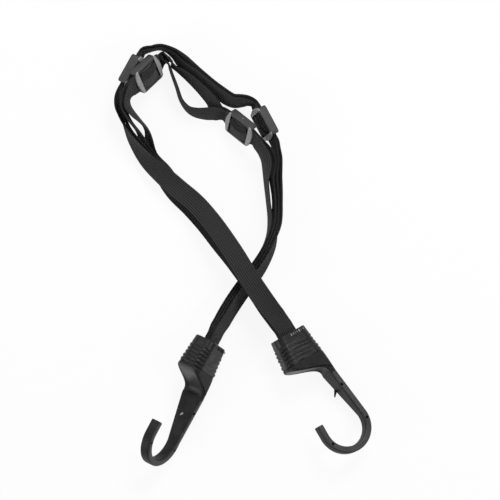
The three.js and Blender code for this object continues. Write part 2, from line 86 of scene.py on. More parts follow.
class Value:
    """Socket of a node tree that takes part in Python arithmetic."""

    def __init__(self, graph: "Graph", socket: bpy.types.NodeSocket) -> None:
        """Wraps a socket of a graph."""
        self.graph = graph
        self.socket = socket

    def _math(self, operation: str, *terms: "Value | float") -> "Value":
        """Adds a Math node with its terms in order."""
        return self.graph.value("ShaderNodeMath", {"operation": operation}, dict(enumerate(terms)))

    def __add__(self, other: "Value | float") -> "Value":
        """Sum."""
        return self._math("ADD", self, other)

    __radd__ = __add__

    def __sub__(self, other: "Value | float") -> "Value":
        """Difference."""
        return self._math("SUBTRACT", self, other)

    def __rsub__(self, other: "Value | float") -> "Value":
        """Difference from a number."""
        return self._math("SUBTRACT", other, self)

    def __mul__(self, other: "Value | float") -> "Value":
        """Product."""
        return self._math("MULTIPLY", self, other)

    __rmul__ = __mul__

    def __truediv__(self, other: "Value | float") -> "Value":
        """Quotient."""
        return self._math("DIVIDE", self, other)

    def __pow__(self, power: float) -> "Value":
        """Power."""
        return self._math("POWER", self, power)

    def __abs__(self) -> "Value":
        """Size without its sign."""
        return self._math("ABSOLUTE", self)

    def or_more(self, other: "Value | float") -> "Value":
        """Greater of two values."""
        return self._math("MAXIMUM", self, other)

    def sine(self) -> "Value":
        """Sine of an angle in radians."""
        return self._math("SINE", self)

    def fraction(self) -> "Value":
        """Part after the point."""
        return self._math("FRACT", self)

    def between(self, low: float, high: float) -> "Value":
        """Smooth step from 0 at the low value to 1 at the high one."""
        sockets = {0: self, 1: low, 2: high, 3: 0.0, 4: 1.0}
        return self.graph.value("ShaderNodeMapRange", {"interpolation_type": "SMOOTHSTEP"}, sockets)


class Graph:
    """Node tree in the making, for a finish or for Geometry Nodes."""

    def __init__(self, tree: bpy.types.NodeTree) -> None:
        """Starts with an empty tree."""
        self.tree = tree
        tree.nodes.clear()

    def node(self, kind: str, settings: dict | None = None, sockets: dict | None = None) -> bpy.types.Node:
        """Adds a node.

        Args:
            kind: The node's type.
            settings: Its properties, set first.
            sockets: Values or links of its input sockets, by name or number.

        Returns:
            The node.
        """
        node = self.tree.nodes.new(kind)
        for name, setting in (settings or {}).items():
            setattr(node, name, setting)
        for key, given in (sockets or {}).items():
            source = given.socket if isinstance(given, Value) else given
            if isinstance(source, bpy.types.NodeSocket):
                self.tree.links.new(source, node.inputs[key])
            else:
                node.inputs[key].default_value = source
        return node

    def value(
        self, kind: str, settings: dict | None = None, sockets: dict | None = None, output: int | str = 0
    ) -> Value:
        """Adds a node and wraps one of its outputs."""
        return Value(self, self.node(kind, settings, sockets).outputs[output])

    def mix(self, share: Value, first: Value | Sequence[float], second: Value | Sequence[float]) -> Value:
        """Blends two colours: a share of 0 gives the first, and 1 the second."""
        colours = [c if isinstance(c, Value) else (*c, 1.0) for c in (first, second)]
        return self.value(
            "ShaderNodeMix", {"data_type": "RGBA"}, {0: share, 6: colours[0], 7: colours[1]}, output=2
        )

    def scaled(self, vector: Value, factor: Value) -> Value:
        """Vector times a number."""
        return self.value("ShaderNodeVectorMath", {"operation": "SCALE"}, {0: vector, "Scale": factor})

    def noise(self, place: Value, size: float, detail: float) -> Value:
        """Cloudy noise around 0.5, with spots of a size in metres."""
        sockets = {"Vector": place, "Scale": 1 / size, "Detail": detail}
        return self.value("ShaderNodeTexNoise", {"noise_dimensions": "3D"}, sockets)


class Shader(Graph):
    """Material in the making, around one Principled BSDF."""

    def __init__(self, name: str) -> None:
        """Makes the material, with an empty tree.

        Args:
            name: The material's name.
        """
        self.material = bpy.data.materials.new(name)
        self.material.use_nodes = True
        super().__init__(self.material.node_tree)

    def place(self) -> Value:
        """Object coordinates."""
        return self.value("ShaderNodeTexCoord", output="Object")

    def finish(
        self, colour: Value, roughness: Value, height: Value, depth: float, fixed: dict[str, float | tuple]
    ) -> Material:
        """Closes the material.

        Args:
            colour: Base colour.
            roughness: Roughness.
            height: Relief, about 0 to 1.
            depth: The relief's depth, in metres.
            fixed: Other Principled sockets that are the same all over.

        Returns:
            The material.
        """
        bump = self.value(
            "ShaderNodeBump", None, {"Strength": 1.0, "Distance": depth, "Height": height}, output="Normal"
        )
        surface = self.value(
            "ShaderNodeBsdfPrincipled",
            None,
            {"Base Color": colour, "Roughness": roughness, "Normal": bump, **fixed},
            output="BSDF",
        )
        self.node("ShaderNodeOutputMaterial", None, {"Surface": surface})
        return self.material


@dataclass(frozen=True)
class KnitFinish:
    """Ribbed elastic webbing: dark yarn in lengthwise ribs with a fine cross stitch.

    Sizes are in millimetres. Tones and heights are the weights of ridge, stitch and fuzz.
    """

    name: str = "ribbed_elastic"
    # Colour of the rib valleys, far darker than the same yarn on the ridges: painted shade
    groove: Triple = (0.002, 0.002, 0.0022)
    yarn: Triple = (0.021, 0.021, 0.0218)
    worn: Triple = (0.05, 0.05, 0.0515)
    ribs: int = 9
    ridge_round: float = 2.2
    stitch: float = 1.15
    stitch_slant: float = 0.8
    fuzz: float = 0.5
    patch: float = 14.0
    patch_tones: Pair = (0.5, 0.72)
    tones: Triple = (0.62, 0.3, 0.36)
    tone_base: float = 0.12
    full_tone: float = 1.05
    worn_span: Pair = (0.5, 0.78)
    worn_share: float = 0.7
    heights: Triple = (0.5, 0.36, 0.3)
    relief: float = 0.16
    rough: Triple = (0.92, 0.18, 0.06)
    sheen: float = 0.12
    specular: float = 0.4
    # Factor on every colour, which makes lit and shaded copies of the same webbing: painted light or shade
    shade: float = 1.0

    def material(self) -> Material:
        """Builds the knit on the strap's own map: its share across, and metres along.

        Returns:
            The material.
        """
        shader = Shader(self.name)
        uv = shader.value("ShaderNodeUVMap", {"uv_map": "strap"}, output="UV")
        parts = shader.node("ShaderNodeSeparateXYZ", None, {0: uv})
        across, along = (Value(shader, parts.outputs[axis]) for axis in (0, 1))
        slant = abs((across * self.ribs).fraction() - 0.5)
        ridge = 1.0 - (slant * 2.0) ** self.ridge_round
        stitch = ((along / (self.stitch * MM) + slant * self.stitch_slant) * math.tau).sine() * 0.5 + 0.5
        place = shader.place()
        fuzz = shader.noise(place, self.fuzz * MM, detail=4.0)
        patches = shader.noise(place, self.patch * MM, detail=2.0)
        by_ridge, by_stitch, by_fuzz = self.tones
        tone = ridge * by_ridge + stitch * ridge * by_stitch + fuzz * by_fuzz - self.tone_base
        tone = tone * (patches * self.patch_tones[0] + self.patch_tones[1])
        groove, yarn, worn = (
            tuple(self.shade * c for c in colour) for colour in (self.groove, self.yarn, self.worn)
        )
        # Darker towards the rib valleys and lighter on the ridges: painted shade
        colour = shader.mix(tone.between(0.0, self.full_tone), groove, yarn)
        colour = shader.mix((fuzz * ridge).between(*self.worn_span) * self.worn_share, colour, worn)
        by_ridge, by_stitch, by_fuzz = self.heights
        height = ridge * by_ridge + stitch * by_stitch + fuzz * by_fuzz
        roughness = self.rough[0] - ridge * self.rough[1] + fuzz * self.rough[2]
        fixed = {"Sheen Weight": self.sheen, "Specular IOR Level": self.specular}
        return shader.finish(colour, roughness, height, self.relief * MM, fixed)


@dataclass(frozen=True)
class MouldedFinish:
    """Moulded plastic or rubber with a faint flow pattern, scuffs and soft gloss.

    Sizes are in millimetres. Tones, rough and heights are the weights of flow, grain and scuffs.
    """

    name: str
    dark: Triple
    light: Triple
    gloss: float
    grain: float = 0.35
    relief: float = 0.03
    specular: float = 0.5
    flow: float = 9.0
    flow_span: Pair = (0.3, 0.75)
    scuff: float = 2.2
    scuff_span: Pair = (0.6, 0.74)
    scuff_flow: Pair = (0.42, 0.66)
    scuff_lift: float = 2.2
    tones: Triple = (0.6, 0.25, 0.4)
    rough: Triple = (0.1, 0.08, 0.12)
    rough_base: float = 0.05
    heights: Triple = (0.8, 0.6, 0.25)

    def material(self) -> Material:
        """Builds the finish on object coordinates.

        Returns:
            The material.
        """
        shader = Shader(self.name)
        place = shader.place()
        flow = shader.noise(place, self.flow * MM, detail=3.0)
        grain = shader.noise(place, self.grain * MM, detail=4.0)
        scuffs = shader.noise(place, self.scuff * MM, detail=6.0)
        worn = scuffs.between(*self.scuff_span) * flow.between(*self.scuff_flow)
        by_flow, by_grain, by_scuffs = self.tones
        tone = flow.between(*self.flow_span) * by_flow + grain * by_grain
        colour = shader.mix(tone, self.dark, self.light)
        colour = shader.mix(worn * by_scuffs, colour, tuple(self.scuff_lift * c for c in self.light))
        by_flow, by_grain, by_scuffs = self.rough
        roughness = 1.0 - self.gloss + flow * by_flow - self.rough_base
        roughness = roughness + grain * by_grain + worn * by_scuffs
        by_flow, by_grain, by_scuffs = self.heights
        height = grain * by_grain + flow * by_flow + scuffs * by_scuffs
        fixed = {"Specular IOR Level": self.specular}
        return shader.finish(colour, roughness, height, self.relief * MM, fixed)


@dataclass(frozen=True)
class SheetFinish:
    """Plain rolled steel with fine lines and faint stains, in millimetres."""

    name: str = "crimp_steel"
    dark: Triple = (0.2, 0.2, 0.21)
    light: Triple = (0.42, 0.42, 0.43)
    line: float = 0.25
    stain: float = 5.0
    tones: Pair = (0.6, 0.3)
    rough: Pair = (0.3, 0.2)
    relief: float = 0.01

    def material(self) -> Material:
        """Builds the finish on object coordinates.

        Returns:
            The material.
        """
        shader = Shader(self.name)
        place = shader.place()
        lines = shader.noise(place, self.line * MM, detail=5.0)
        stain = shader.noise(place, self.stain * MM, detail=3.0)
        colour = shader.mix(lines * self.tones[0] + stain * self.tones[1], self.dark, self.light)
        roughness = self.rough[0] + lines * self.rough[1]
        return shader.finish(colour, roughness, lines, self.relief * MM, {"Metallic": 1.0})


@dataclass(frozen=True)
class Finishes:
    """The cord's materials, each made once."""

    webbing: Material
    lightened_webbing: Material
    fold_lit_webbing: Material
    hook: Material
    hook_highlight: Material
    sleeve: Material
    slider: Material
    highlight_plastic: Material
    crimp: Material

    @classmethod
    def make(cls) -> "Finishes":
        """Builds every material."""
        finishes = {
            "webbing": KnitFinish(),
            # A lighter copy of the same webbing for the three runs under the top one: painted light
            "lightened_webbing": KnitFinish("ribbed_elastic_lightened", shade=1.15),
            # Three times lighter copy of the same webbing for the folds in the slider windows: painted light
            "fold_lit_webbing": KnitFinish("ribbed_elastic_fold_lit", shade=3.0),
            "hook": MouldedFinish(
                "hook_plastic", (0.013, 0.013, 0.0134), (0.029, 0.029, 0.03), 0.6, specular=0.1
            ),
            # A lighter copy of the hook plastic for the bar's upward faces and the dish: painted highlight
            "hook_highlight": MouldedFinish(
                "hook_painted_highlight", (0.024, 0.024, 0.0248), (0.05, 0.05, 0.0515), 0.62, specular=0.3
            ),
            "sleeve": MouldedFinish(
                "sleeve_rubber", (0.005, 0.005, 0.0053), (0.015, 0.015, 0.0155), 0.64, 0.5, 0.05, 0.27
            ),
            "slider": MouldedFinish("slider_plastic", (0.026, 0.026, 0.027), (0.05, 0.05, 0.0518), 0.46),
            # Light grey plastic for the slider bar tops, the pip, a burr and a row of teeth: painted
            # highlight
            "highlight_plastic": MouldedFinish("slider_painted_highlight", (0.25, 0.25, 0.253), (0.36, 0.36, 0.364), 0.5),
            "crimp": SheetFinish(),
        }
        return cls(**{use: finish.material() for use, finish in finishes.items()})


@dataclass(frozen=True)
class Placement:
    """Where a hook or slider sits on the webbing, in millimetres and degrees."""

    at: Triple
    heading: float
    slope: float
    roll: float

    def matrix(self) -> Matrix:
        """Frame of the piece: x along the heading, z out of the upward face.

        Returns:
            The frame, in millimetres.
        """
        turn, climb, lean = (math.radians(angle) for angle in (self.heading, self.slope, self.roll))
        along = Vector((math.cos(turn) * math.cos(climb), math.sin(turn) * math.cos(climb), math.sin(climb)))
        right = along.cross(UP).normalized()
        normal = right.cross(along) * math.cos(lean) + right * math.sin(lean)
        side = normal.cross(along)
        basis = Matrix((along, side, normal)).transposed().to_4x4()
        return Matrix.Translation(Vector(self.at) + LAY_OFFSET) @ basis

    def metres(self) -> Matrix:
        """Frame of the piece, for points in metres."""
        return Matrix.Scale(MM, 4) @ self.matrix() @ Matrix.Scale(1 / MM, 4)


HOOKS = {
    Side.LEFT: Placement((-26.4, -68.4, 16.2), 242, 6.2, -60),
    Side.RIGHT: Placement((34.4, -62, 14.7), -60, 1.6, -24),
}
SLIDERS = {
    "slider_front_right": Placement((-2.6, 103, 15.6), 141, -20, -53),
    "slider_rear_right": Placement((16.4, 106.6, 12.3), 118, -4, -68),
    "slider_front_left": Placement((-77.6, 145.8, 17.6), 225, 26, -43),
    "slider_rear_left": Placement((-89.8, 148, 12.6), 241, 4, -76),
}


def mesh_object(name: str, mesh: Mesh) -> Object:
    """Puts a mesh into the scene.

    Args:
        name: The piece's name.
        mesh: Its mesh, in the row frame.

    Returns:
        The object, at the origin.
    """
    piece = bpy.data.objects.new(name, mesh)
    bpy.context.scene.collection.objects.link(piece)
    return piece


@contextmanager
def editing(mesh: Mesh) -> Iterator[bmesh.types.BMesh]:
    """Opens a mesh for editing and writes it back.

    Args:
        mesh: The mesh.

    Returns:
        Its shape, to be changed in a with block.
    """
    shape = bmesh.new()
    shape.from_mesh(mesh)
    yield shape
    shape.to_mesh(mesh)
    shape.free()


def baked(piece: Object, keep_layers: bool = False) -> Mesh:
    """Applies a piece's modifiers to a new mesh, and takes them off the piece.

    Args:
        piece: The piece, which keeps its old mesh.
        keep_layers: Whether every attribute goes along.

    Returns:
        The new mesh.
    """
    graph = bpy.context.evaluated_depsgraph_get()
    mesh = bpy.data.meshes.new_from_object(
        piece.evaluated_get(graph), preserve_all_data_layers=keep_layers, depsgraph=graph
    )
    piece.modifiers.clear()
    return mesh


def face_outwards(mesh: Mesh) -> None:
    """Turns a closed mesh's faces outwards."""
    with editing(mesh) as shape:
        if shape.calc_volume(signed=True) < 0:
            bmesh.ops.reverse_faces(shape, faces=shape.faces)


def loft(name: str, rings: np.ndarray) -> Mesh:
    """Closed skin over rings with the same number of points, with flat ends.

    Args:
        name: The mesh's name.
        rings: Points in millimetres, by ring, point and axis.

    Returns:
        The mesh, in metres.
    """
    count, points = rings.shape[:2]
    faces = []
    for ring in range(count - 1):
        for point in range(points):
            following = (point + 1) % points
            low, high = ring * points, (ring + 1) * points
            faces.append((low + point, low + following, high + following, high + point))
    faces.append(tuple(reversed(range(points))))
    faces.append(tuple(range((count - 1) * points, count * points)))
    mesh = bpy.data.meshes.new(name)
    mesh.from_pydata((rings.reshape(-1, 3) * MM).tolist(), [], faces)
    mesh.polygons.foreach_set("use_smooth", [True] * (len(faces) - 2) + [False] * 2)
    face_outwards(mesh)
    return mesh


def rounded_section(width: float, depth: float, corner: float, corner_points: int, flat: int) -> np.ndarray:
    """Points round a rectangle with rounded corners.

    Args:
        width: Its width, in millimetres.
        depth: Its depth.
        corner: Radius of its corners.
        corner_points: Points on each corner.
        flat: Points between two corners.

    Returns:
        The points, by point and axis.
    """
    radius = min(corner, width / 2 - LEAST_FLAT, depth / 2 - LEAST_FLAT)
    points: list[Pair] = []
    for quarter in range(4):
        side = 1 if quarter in (0, 3) else -1
        top = 1 if quarter < 2 else -1
        arc = []
        for step in range(corner_points):
            angle = (quarter + step / (corner_points - 1)) * math.pi / 2
            arc.append((
                side * (width / 2 - radius) + radius * math.cos(angle),
                top * (depth / 2 - radius) + radius * math.sin(angle),
            ))
        if points:
            points.extend(between(points[-1], arc[0], flat))
        points.extend(arc)
    points.extend(between(points[-1], points[0], flat))
    return np.array(points)


def between(start: Sequence[float], end: Sequence[float], count: int) -> list[tuple[float, ...]]:
    """Points spaced evenly between two points, without them."""
    shares = [(step + 1) / (count + 1) for step in range(count)]
    return [tuple(a + (b - a) * share for a, b in zip(start, end)) for share in shares]


def smooth(share: float) -> float:
    """Smooth step from 0 to 1."""
    share = min(max(share, 0.0), 1.0)
    return share * share * (3 - 2 * share)


class NodeTool:
    """Geometry Nodes tree with named inputs, which turns an object into a plain mesh."""

    def __init__(self, name: str, inputs: dict[str, str]) -> None:
        """Starts the tree.

        Args:
            name: The tree's name.
            inputs: Kind of socket of each named input.
        """
        tree = bpy.data.node_groups.new(name, "GeometryNodeTree")
        self.graph = Graph(tree)
        tree.interface.new_socket("Geometry", in_out="INPUT", socket_type="NodeSocketGeometry")
        tree.interface.new_socket("Geometry", in_out="OUTPUT", socket_type="NodeSocketGeometry")
        self.identifiers = {
            label: tree.interface.new_socket(
                label, in_out="INPUT", socket_type=f"NodeSocket{kind}"
            ).identifier
            for label, kind in inputs.items()
        }
        self.inputs = self.graph.node("NodeGroupInput")

    def given(self, label: str) -> Value:
        """Value of a named input."""
        return Value(self.graph, self.inputs.outputs[label])

    def attribute(self, name: str, kind: str = "FLOAT") -> Value:
        """Value of a named attribute of the geometry."""
        return self.graph.value("GeometryNodeInputNamedAttribute", {"data_type": kind}, {"Name": name})

    def stored(self, geometry: Value, name: str, value: Value, kind: str, domain: str) -> Value:
        """Geometry that keeps a value as a named attribute."""
        sockets = {"Geometry": geometry, "Name": name, "Value": value}
        return self.graph.value(
            "GeometryNodeStoreNamedAttribute", {"data_type": kind, "domain": domain}, sockets
        )

    def moved(self, geometry: Value, offset: Value) -> Value:
        """Geometry with its points moved."""
        return self.graph.value("GeometryNodeSetPosition", None, {"Geometry": geometry, "Offset": offset})

    def close(self, geometry: Value) -> None:
        """Ends the tree in real geometry with its material.

        Args:
            geometry: What the tree has made.
        """
        real = self.graph.value("GeometryNodeRealizeInstances", None, {"Geometry": geometry})
        shaded = self.graph.value("GeometryNodeSetShadeSmooth", None, {"Geometry": real})
        dressed = self.graph.value(
            "GeometryNodeSetMaterial", None, {"Geometry": shaded, "Material": self.given("Material")}
        )
        self.graph.node("NodeGroupOutput", None, {"Geometry": dressed})

    def run(self, start: Mesh, name: str, settings: dict[str, object]) -> Object:
        """Runs the tree on a mesh.

        Args:
            start: The mesh to start from.
            name: Name of the finished piece.
            settings: Value of each named input.

        Returns:
            A plain mesh object.
        """
        carrier = mesh_object(f"{name}_start", start)
        modifier = carrier.modifiers.new("build", "NODES")
        modifier.node_group = self.graph.tree
        for label, setting in settings.items():
            modifier[self.identifiers[label]] = setting
        mesh = baked(carrier, keep_layers=True)
        bpy.data.objects.remove(carrier)
        bpy.data.meshes.remove(start)
        mesh.name = name
        return mesh_object(name, mesh)


@dataclass
class Webbing:
    """Four runs of ribbed elastic, with the route that each follows in millimetres and degrees."""

    width: float = 16.0
    thickness: float = 1.2
    pitch: float = 1.55
    ribs: int = 9
    groove: float = 0.3
    ring_step: float = 1.6
    section_points: int = 130
    slider_half: float = 14.0
    slider_travel: float = 2.5
    slider_lead: float = 0.8
    curl: float = 1.5
    curl_start: float = 5.5
    curl_ease: float = 8.0
    curl_rest: float = 0.33
    bunch: float = 0.42
    bunch_turn: float = math.radians(40)
    bunch_spread: int = 2
    hook_stations: tuple[float, ...] = (-6.0, -2.0, 4.5, 16.7)
    right_arm: tuple = (
        (-20, -54.8, 13.6, 60, (-3.0, -1.0, 1.0, 3.0)),
        (-11.2, -39.6, 10.6, 60, (-3.4, -1.1, 1.1, 3.4)),
        (0.8, -22, 9.4, 58, EVEN_STACK),
        (12, -6.8, 9.4, 68, (-3.4, -1.2, 1.1, 3.3)),
        (20, 9.2, 9, 79, EVEN_STACK),
        (24, 27.6, 9.2, 100, (-4.0, -1.2, 1.4, 3.8)),
        (24.2, 45.2, 9.4, 99, (-5.6, -0.6, 1.9, 4.4)),
    )
    to_right_slider: tuple = (
        (
            (19.6, 62.8, 10.6, 102, (-2.8, 1.8)),
            (18.5, 78.7, 16.4, 123, (-2.4, 2.1)),
        ),
        (
            (26.9, 62.8, 9.4, 99, (-1.9, 1.4)),
            (26.7, 81.5, 13.4, 102, (-1.2, 1.0)),
        ),
    )
    from_right_slider: tuple = (
        (
            (-21.8, 115.4, 9.9, 132, (-1.9, 1.6)),
        ),
        (
            (2.4, 124.4, 12, 111, (-1.4, 1.4)),
            (-8.4, 123.8, 10.8, 121, (-1.4, 1.4)),
            (-22.4, 132.2, 10.4, 123, (-1.3, 1.3)),
            (-37, 144.2, 10, 121, (-1.4, 1.4)),
        ),
    )
    middle: tuple = (
        (
            (-30, 113.4, 10.4, 126),
            (-39, 114.4, 9.4, 116),
            (-45, 117.2, 9, 106),
            (-50.6, 124.6, 9, 97),
            (-54, 135, 10, 94),
            (-57.2, 144, 11.2, 93),
            (-59.1, 149.7, 13.7, 96),
        ),
        (
            (-26.8, 124.4, 11, 124),
            (-35.4, 134, 10.4, 118),
            (-45.6, 143.4, 10.4, 111),
            (-52.6, 148.8, 11.2, 105),
            (-56.3, 151.3, 12.8, 103),
        ),
        (
            (-50.4, 152.8, 9.8, 114),
            (-57.8, 161.2, 9.4, 102),
            (-66.2, 165.8, 9.2, 95),
        ),
        (
            (-48.4, 156.8, 9.8, 116),
            (-56.8, 164, 9.4, 103),
            (-66, 168, 9.2, 95),
        ),
    )
    to_left_slider: tuple = (
        (
            (-58.6, 155.4, 13.6, 86, (-2.4, 0.7)),
            (-61.2, 157.9, 12.8, 85, (-3.0, 1.2)),
            (-62.8, 160.1, 10.7, 123, (-1.4, 1.9)),
        ),
        (
            (-74.9, 165.7, 10.5, 97, (-1.2, 1.1)),
            (-79.6, 164.8, 11.4, 102, (-1.2, 1.2)),
        ),
    )
    from_left_slider: tuple = (
        (
            (-91.6, 130.8, 25.6, 120, (-2.1, 1.7)),
            (-93.6, 123.9, 23.3, 110, (-1.5, 1.6)),
            (-92.3, 117.3, 19.1, 101, (-2.1, 2.2)),
            (-87, 108, 13.4, 90, (-3.7, 2.7)),
            (-80.4, 98.4, 9.4, 78, (-4.2, 2.4)),
        ),
        (
            (-100.1, 126.5, 13.9, 101, (-1.3, 1.5)),
            (-98.4, 117, 10.4, 99, (-1.7, 1.1)),
            (-95, 107.4, 9.6, 90, (-1.3, 1.3)),
            (-89.6, 96.4, 10.4, 72, (-1.3, 1.3)),
        ),
    )
    crossing_arm: tuple = (
        (-76.4, 80, 9.4, 44, (-3.6, -1.2, 1.2, 3.4)),
        (-64, 66, 7.2, 18, (-3.3, -1.1, 1.1, 3.3), 1),
        (-52.8, 54.8, 6.4, 5, EVEN_STACK, 3.5),
        (-39.2, 42.8, 7.6, 0, EVEN_STACK, 4.5),
        (-26.4, 28.4, 11, 0, EVEN_STACK, 4.5),
        (-15.2, 13.2, 16, 0, EVEN_STACK, 4),
        (-5.6, -1.2, 21, 0, EVEN_STACK, 2.5),
        (3.2, -15.6, 23.2, 0, EVEN_STACK, 1),
        (11.2, -28.4, 22, -6, EVEN_STACK),
        (20.8, -42.8, 18.6, -15, (-3.0, -1.0, 1.0, 3.0)),
    )

    def tool(self) -> NodeTool:
        """Tree that sweeps the ribbed section along a line of points that carry a facing.

        Returns:
            The tree.
        """
        tool = NodeTool("ribbed_strap", {
            "Width": "Float",
            "Thickness": "Float",
            "Ribs": "Int",
            "Groove": "Float",
            "Curl": "Float",
            "Points": "Int",
            "Material": "Material",
        })
        graph = tool.graph
        width, thickness = tool.given("Width"), tool.given("Thickness")
        outline = graph.value(
            "GeometryNodeCurvePrimitiveQuadrilateral", None, {"Width": thickness, "Height": width}
        )
        outline = graph.value(
            "GeometryNodeResampleCurve", None, {"Curve": outline, "Count": tool.given("Points")}
        )
        parts = graph.node("ShaderNodeSeparateXYZ", None, {0: graph.value("GeometryNodeInputPosition")})
        out, sideways = (Value(graph, parts.outputs[axis]) for axis in (0, 1))
        across = sideways / width + 0.5
        valley = 1.0 - abs((across * tool.given("Ribs") * math.pi).sine())
        sink = out * (valley * -2.0 * tool.given("Groove") / thickness)
        outline = tool.stored(outline, "across", across, "FLOAT", "POINT")
        outline = tool.moved(outline, graph.value("ShaderNodeCombineXYZ", None, {0: sink}))
        line = graph.value("GeometryNodeMeshToCurve", None, {"Mesh": tool.given("Geometry")})
        facing = tool.attribute("facing", "FLOAT_VECTOR")
        line = graph.value("GeometryNodeSetCurveNormal", {"mode": "FREE"}, {"Curve": line, "Normal": facing})
        strap = graph.value(
            "GeometryNodeCurveToMesh", None, {"Curve": line, "Profile Curve": outline, "Fill Caps": True}
        )
        across, along, slack = (tool.attribute(name) for name in ("across", "along", "slack"))
        bow = (across * 2.0 - 1.0) ** 2.0 - self.curl_rest
        curled = graph.scaled(facing, bow * slack * tool.given("Curl"))
        drawn = graph.scaled(tool.attribute("drawn", "FLOAT_VECTOR"), (0.5 - across) * width)
        shift = graph.value("ShaderNodeVectorMath", {"operation": "ADD"}, {0: curled, 1: drawn})
        strap = tool.moved(strap, shift)
        spread = graph.value("ShaderNodeCombineXYZ", None, {0: across, 1: along})
        tool.close(tool.stored(strap, "strap", spread, "FLOAT2", "CORNER"))
        return tool

    def stops(self, run: Run) -> tuple[np.ndarray, np.ndarray]:
        """Stops of one run's route.

        Args:
            run: Which run.

        Returns:
            Each stop's place, in millimetres, and the way its face looks.
        """
        rear, place = divmod(run.value, 2)
        pair = "rear" if rear else "front"
        depth = (run.value - (len(Run) - 1) / 2) * self.pitch
        pair_depth = (place - 0.5) * self.pitch
        half = self.slider_half + self.slider_travel
        slider_stations = (-half - self.slider_lead, -half, 0.0, half, half + self.slider_lead)
        stops: list[tuple] = []

        def held(spot: Placement, stations: Sequence[float], offset: float, facing: int) -> None:
            """Adds stops inside a hook or slider.

            Args:
                spot: Where it sits.
                stations: Places along it.
                offset: Height above its middle.
                facing: 1 where the strap faces its way, or -1.
            """
            matrix = spot.matrix()
            normal = matrix.to_3x3().col[2] * facing
            for station in stations:
                stops.append((matrix @ Vector((station, 0, 0)) + normal * offset, normal))

        def free(rows: Sequence[tuple], index: int) -> None:
            """Adds stops between the hooks and sliders.

            Args:
                rows: Place and roll of each, with the offsets of the runs and how far they slip sideways.
                index: Which of the offsets is this run's.
            """
            for x, y, z, roll, *more in rows:
                offsets = more[0] if more else (0.0,)
                slip = more[1] if len(more) > 1 else 0.0
                share = (len(offsets) - 1 - index) / (len(offsets) - 1) if len(offsets) > 1 else 0.0
                stops.append((Vector((x, y, z)) + LAY_OFFSET, None, roll, offsets[index], slip * share))

        held(HOOKS[Side.LEFT], self.hook_stations[::-1], depth, 1)
        free(self.right_arm, run.value)
        free(self.to_right_slider[rear], place)
        held(SLIDERS[f"slider_{pair}_right"], slider_stations, pair_depth, -1)
        free(self.from_right_slider[rear], place)
        free(self.middle[run.value], 0)
        free(self.to_left_slider[rear], place)
        held(SLIDERS[f"slider_{pair}_left"], slider_stations, pair_depth, -1)
        free(self.from_left_slider[rear], place)
        free(self.crossing_arm, run.value)
        held(HOOKS[Side.RIGHT], self.hook_stations, depth, 1)
        places, normals = [], []
        for index, (at, normal, *more) in enumerate(stops):
            if normal is None:
                roll, offset, slip = math.radians(more[0]), *more[1:]
                right = (stops[index + 1][0] - stops[index - 1][0]).cross(UP).normalized()
                normal = UP * math.cos(roll) + right * math.sin(roll)
                side = right * math.cos(roll) - UP * math.sin(roll)
                at = at + normal * offset + side * slip
            places.append(at)
            normals.append(normal)
        return np.array(places), np.array(normals)

    def path(self, run: Run) -> tuple[np.ndarray, np.ndarray]:
        """Close points along one run.

        Args:
            run: Which run.

        Returns:
            Places in millimetres and unit normals of the face.
        """
        places, normals = self.stops(run)
        rows, faces = [], []
        for leg in range(len(places) - 1):
            length = float(np.linalg.norm(places[leg + 1] - places[leg]))
            steps = max(1, round(length / self.ring_step))
            for step in range(steps):
                rows.append(curve_point(places, leg, step / steps))
                faces.append(curve_point(normals, leg, step / steps))
        rows.append(places[-1])
        faces.append(normals[-1])
        centre, facing = np.array(rows), np.array(faces)
        tangent = np.gradient(centre, axis=0)
        tangent /= np.linalg.norm(tangent, axis=1, keepdims=True)
        facing -= tangent * np.sum(facing * tangent, axis=1, keepdims=True)
        return centre, facing / np.linalg.norm(facing, axis=1, keepdims=True)

    def slack(self, centre: np.ndarray) -> np.ndarray:
        """How far a strap is free to curl across its width.

        Args:
            centre: Places along the strap, in millimetres.

        Returns:
            0 inside the hooks and sliders, and up to 1 away from them.
        """
        away = np.ones(len(centre))
        half = self.slider_half + self.slider_travel
        holds = [(spot, -half, half) for spot in SLIDERS.values()]
        holds += [(spot, self.hook_stations[0], math.inf) for spot in HOOKS.values()]
        for spot, low, high in holds:
            inverse = np.array(spot.matrix().inverted())
            local = centre @ inverse[:3, :3].T + inverse[:3, 3]
            beyond = np.maximum(0, np.maximum(low - local[:, 0], local[:, 0] - high))
            gap = np.hypot(beyond, np.linalg.norm(local[:, 1:], axis=1))
            away = np.minimum(away, np.clip((gap - self.curl_start) / self.curl_ease, 0, 1))
        return away * away * (3 - 2 * away)

    def bunching(self, centre: np.ndarray, facing: np.ndarray) -> np.ndarray:
        """How the strap draws together across its width where it folds back on itself.

        Args:
            centre: Places along the strap, in millimetres.
            facing: Unit normals of its face.

        Returns:
            Vectors across the strap, as long as the share of its width that is drawn in.
        """
        steps = np.diff(centre, axis=0)
        steps /= np.linalg.norm(steps, axis=1, keepdims=True)
        bends = np.arccos(np.clip(np.sum(steps[1:] * steps[:-1], axis=1), -1, 1))
        share = np.pad(np.clip(bends / self.bunch_turn, 0, 1) ** 2, 1)
        shifts = range(-self.bunch_spread, self.bunch_spread + 1)
        wide = np.max([np.roll(share, shift) for shift in shifts], axis=0)
        eased = np.convolve(wide, np.ones(len(shifts)) / len(shifts), "same")
        side = np.cross(np.gradient(centre, axis=0), facing)
        side /= np.linalg.norm(side, axis=1, keepdims=True)
        return side * (self.bunch * eased)[:, None]

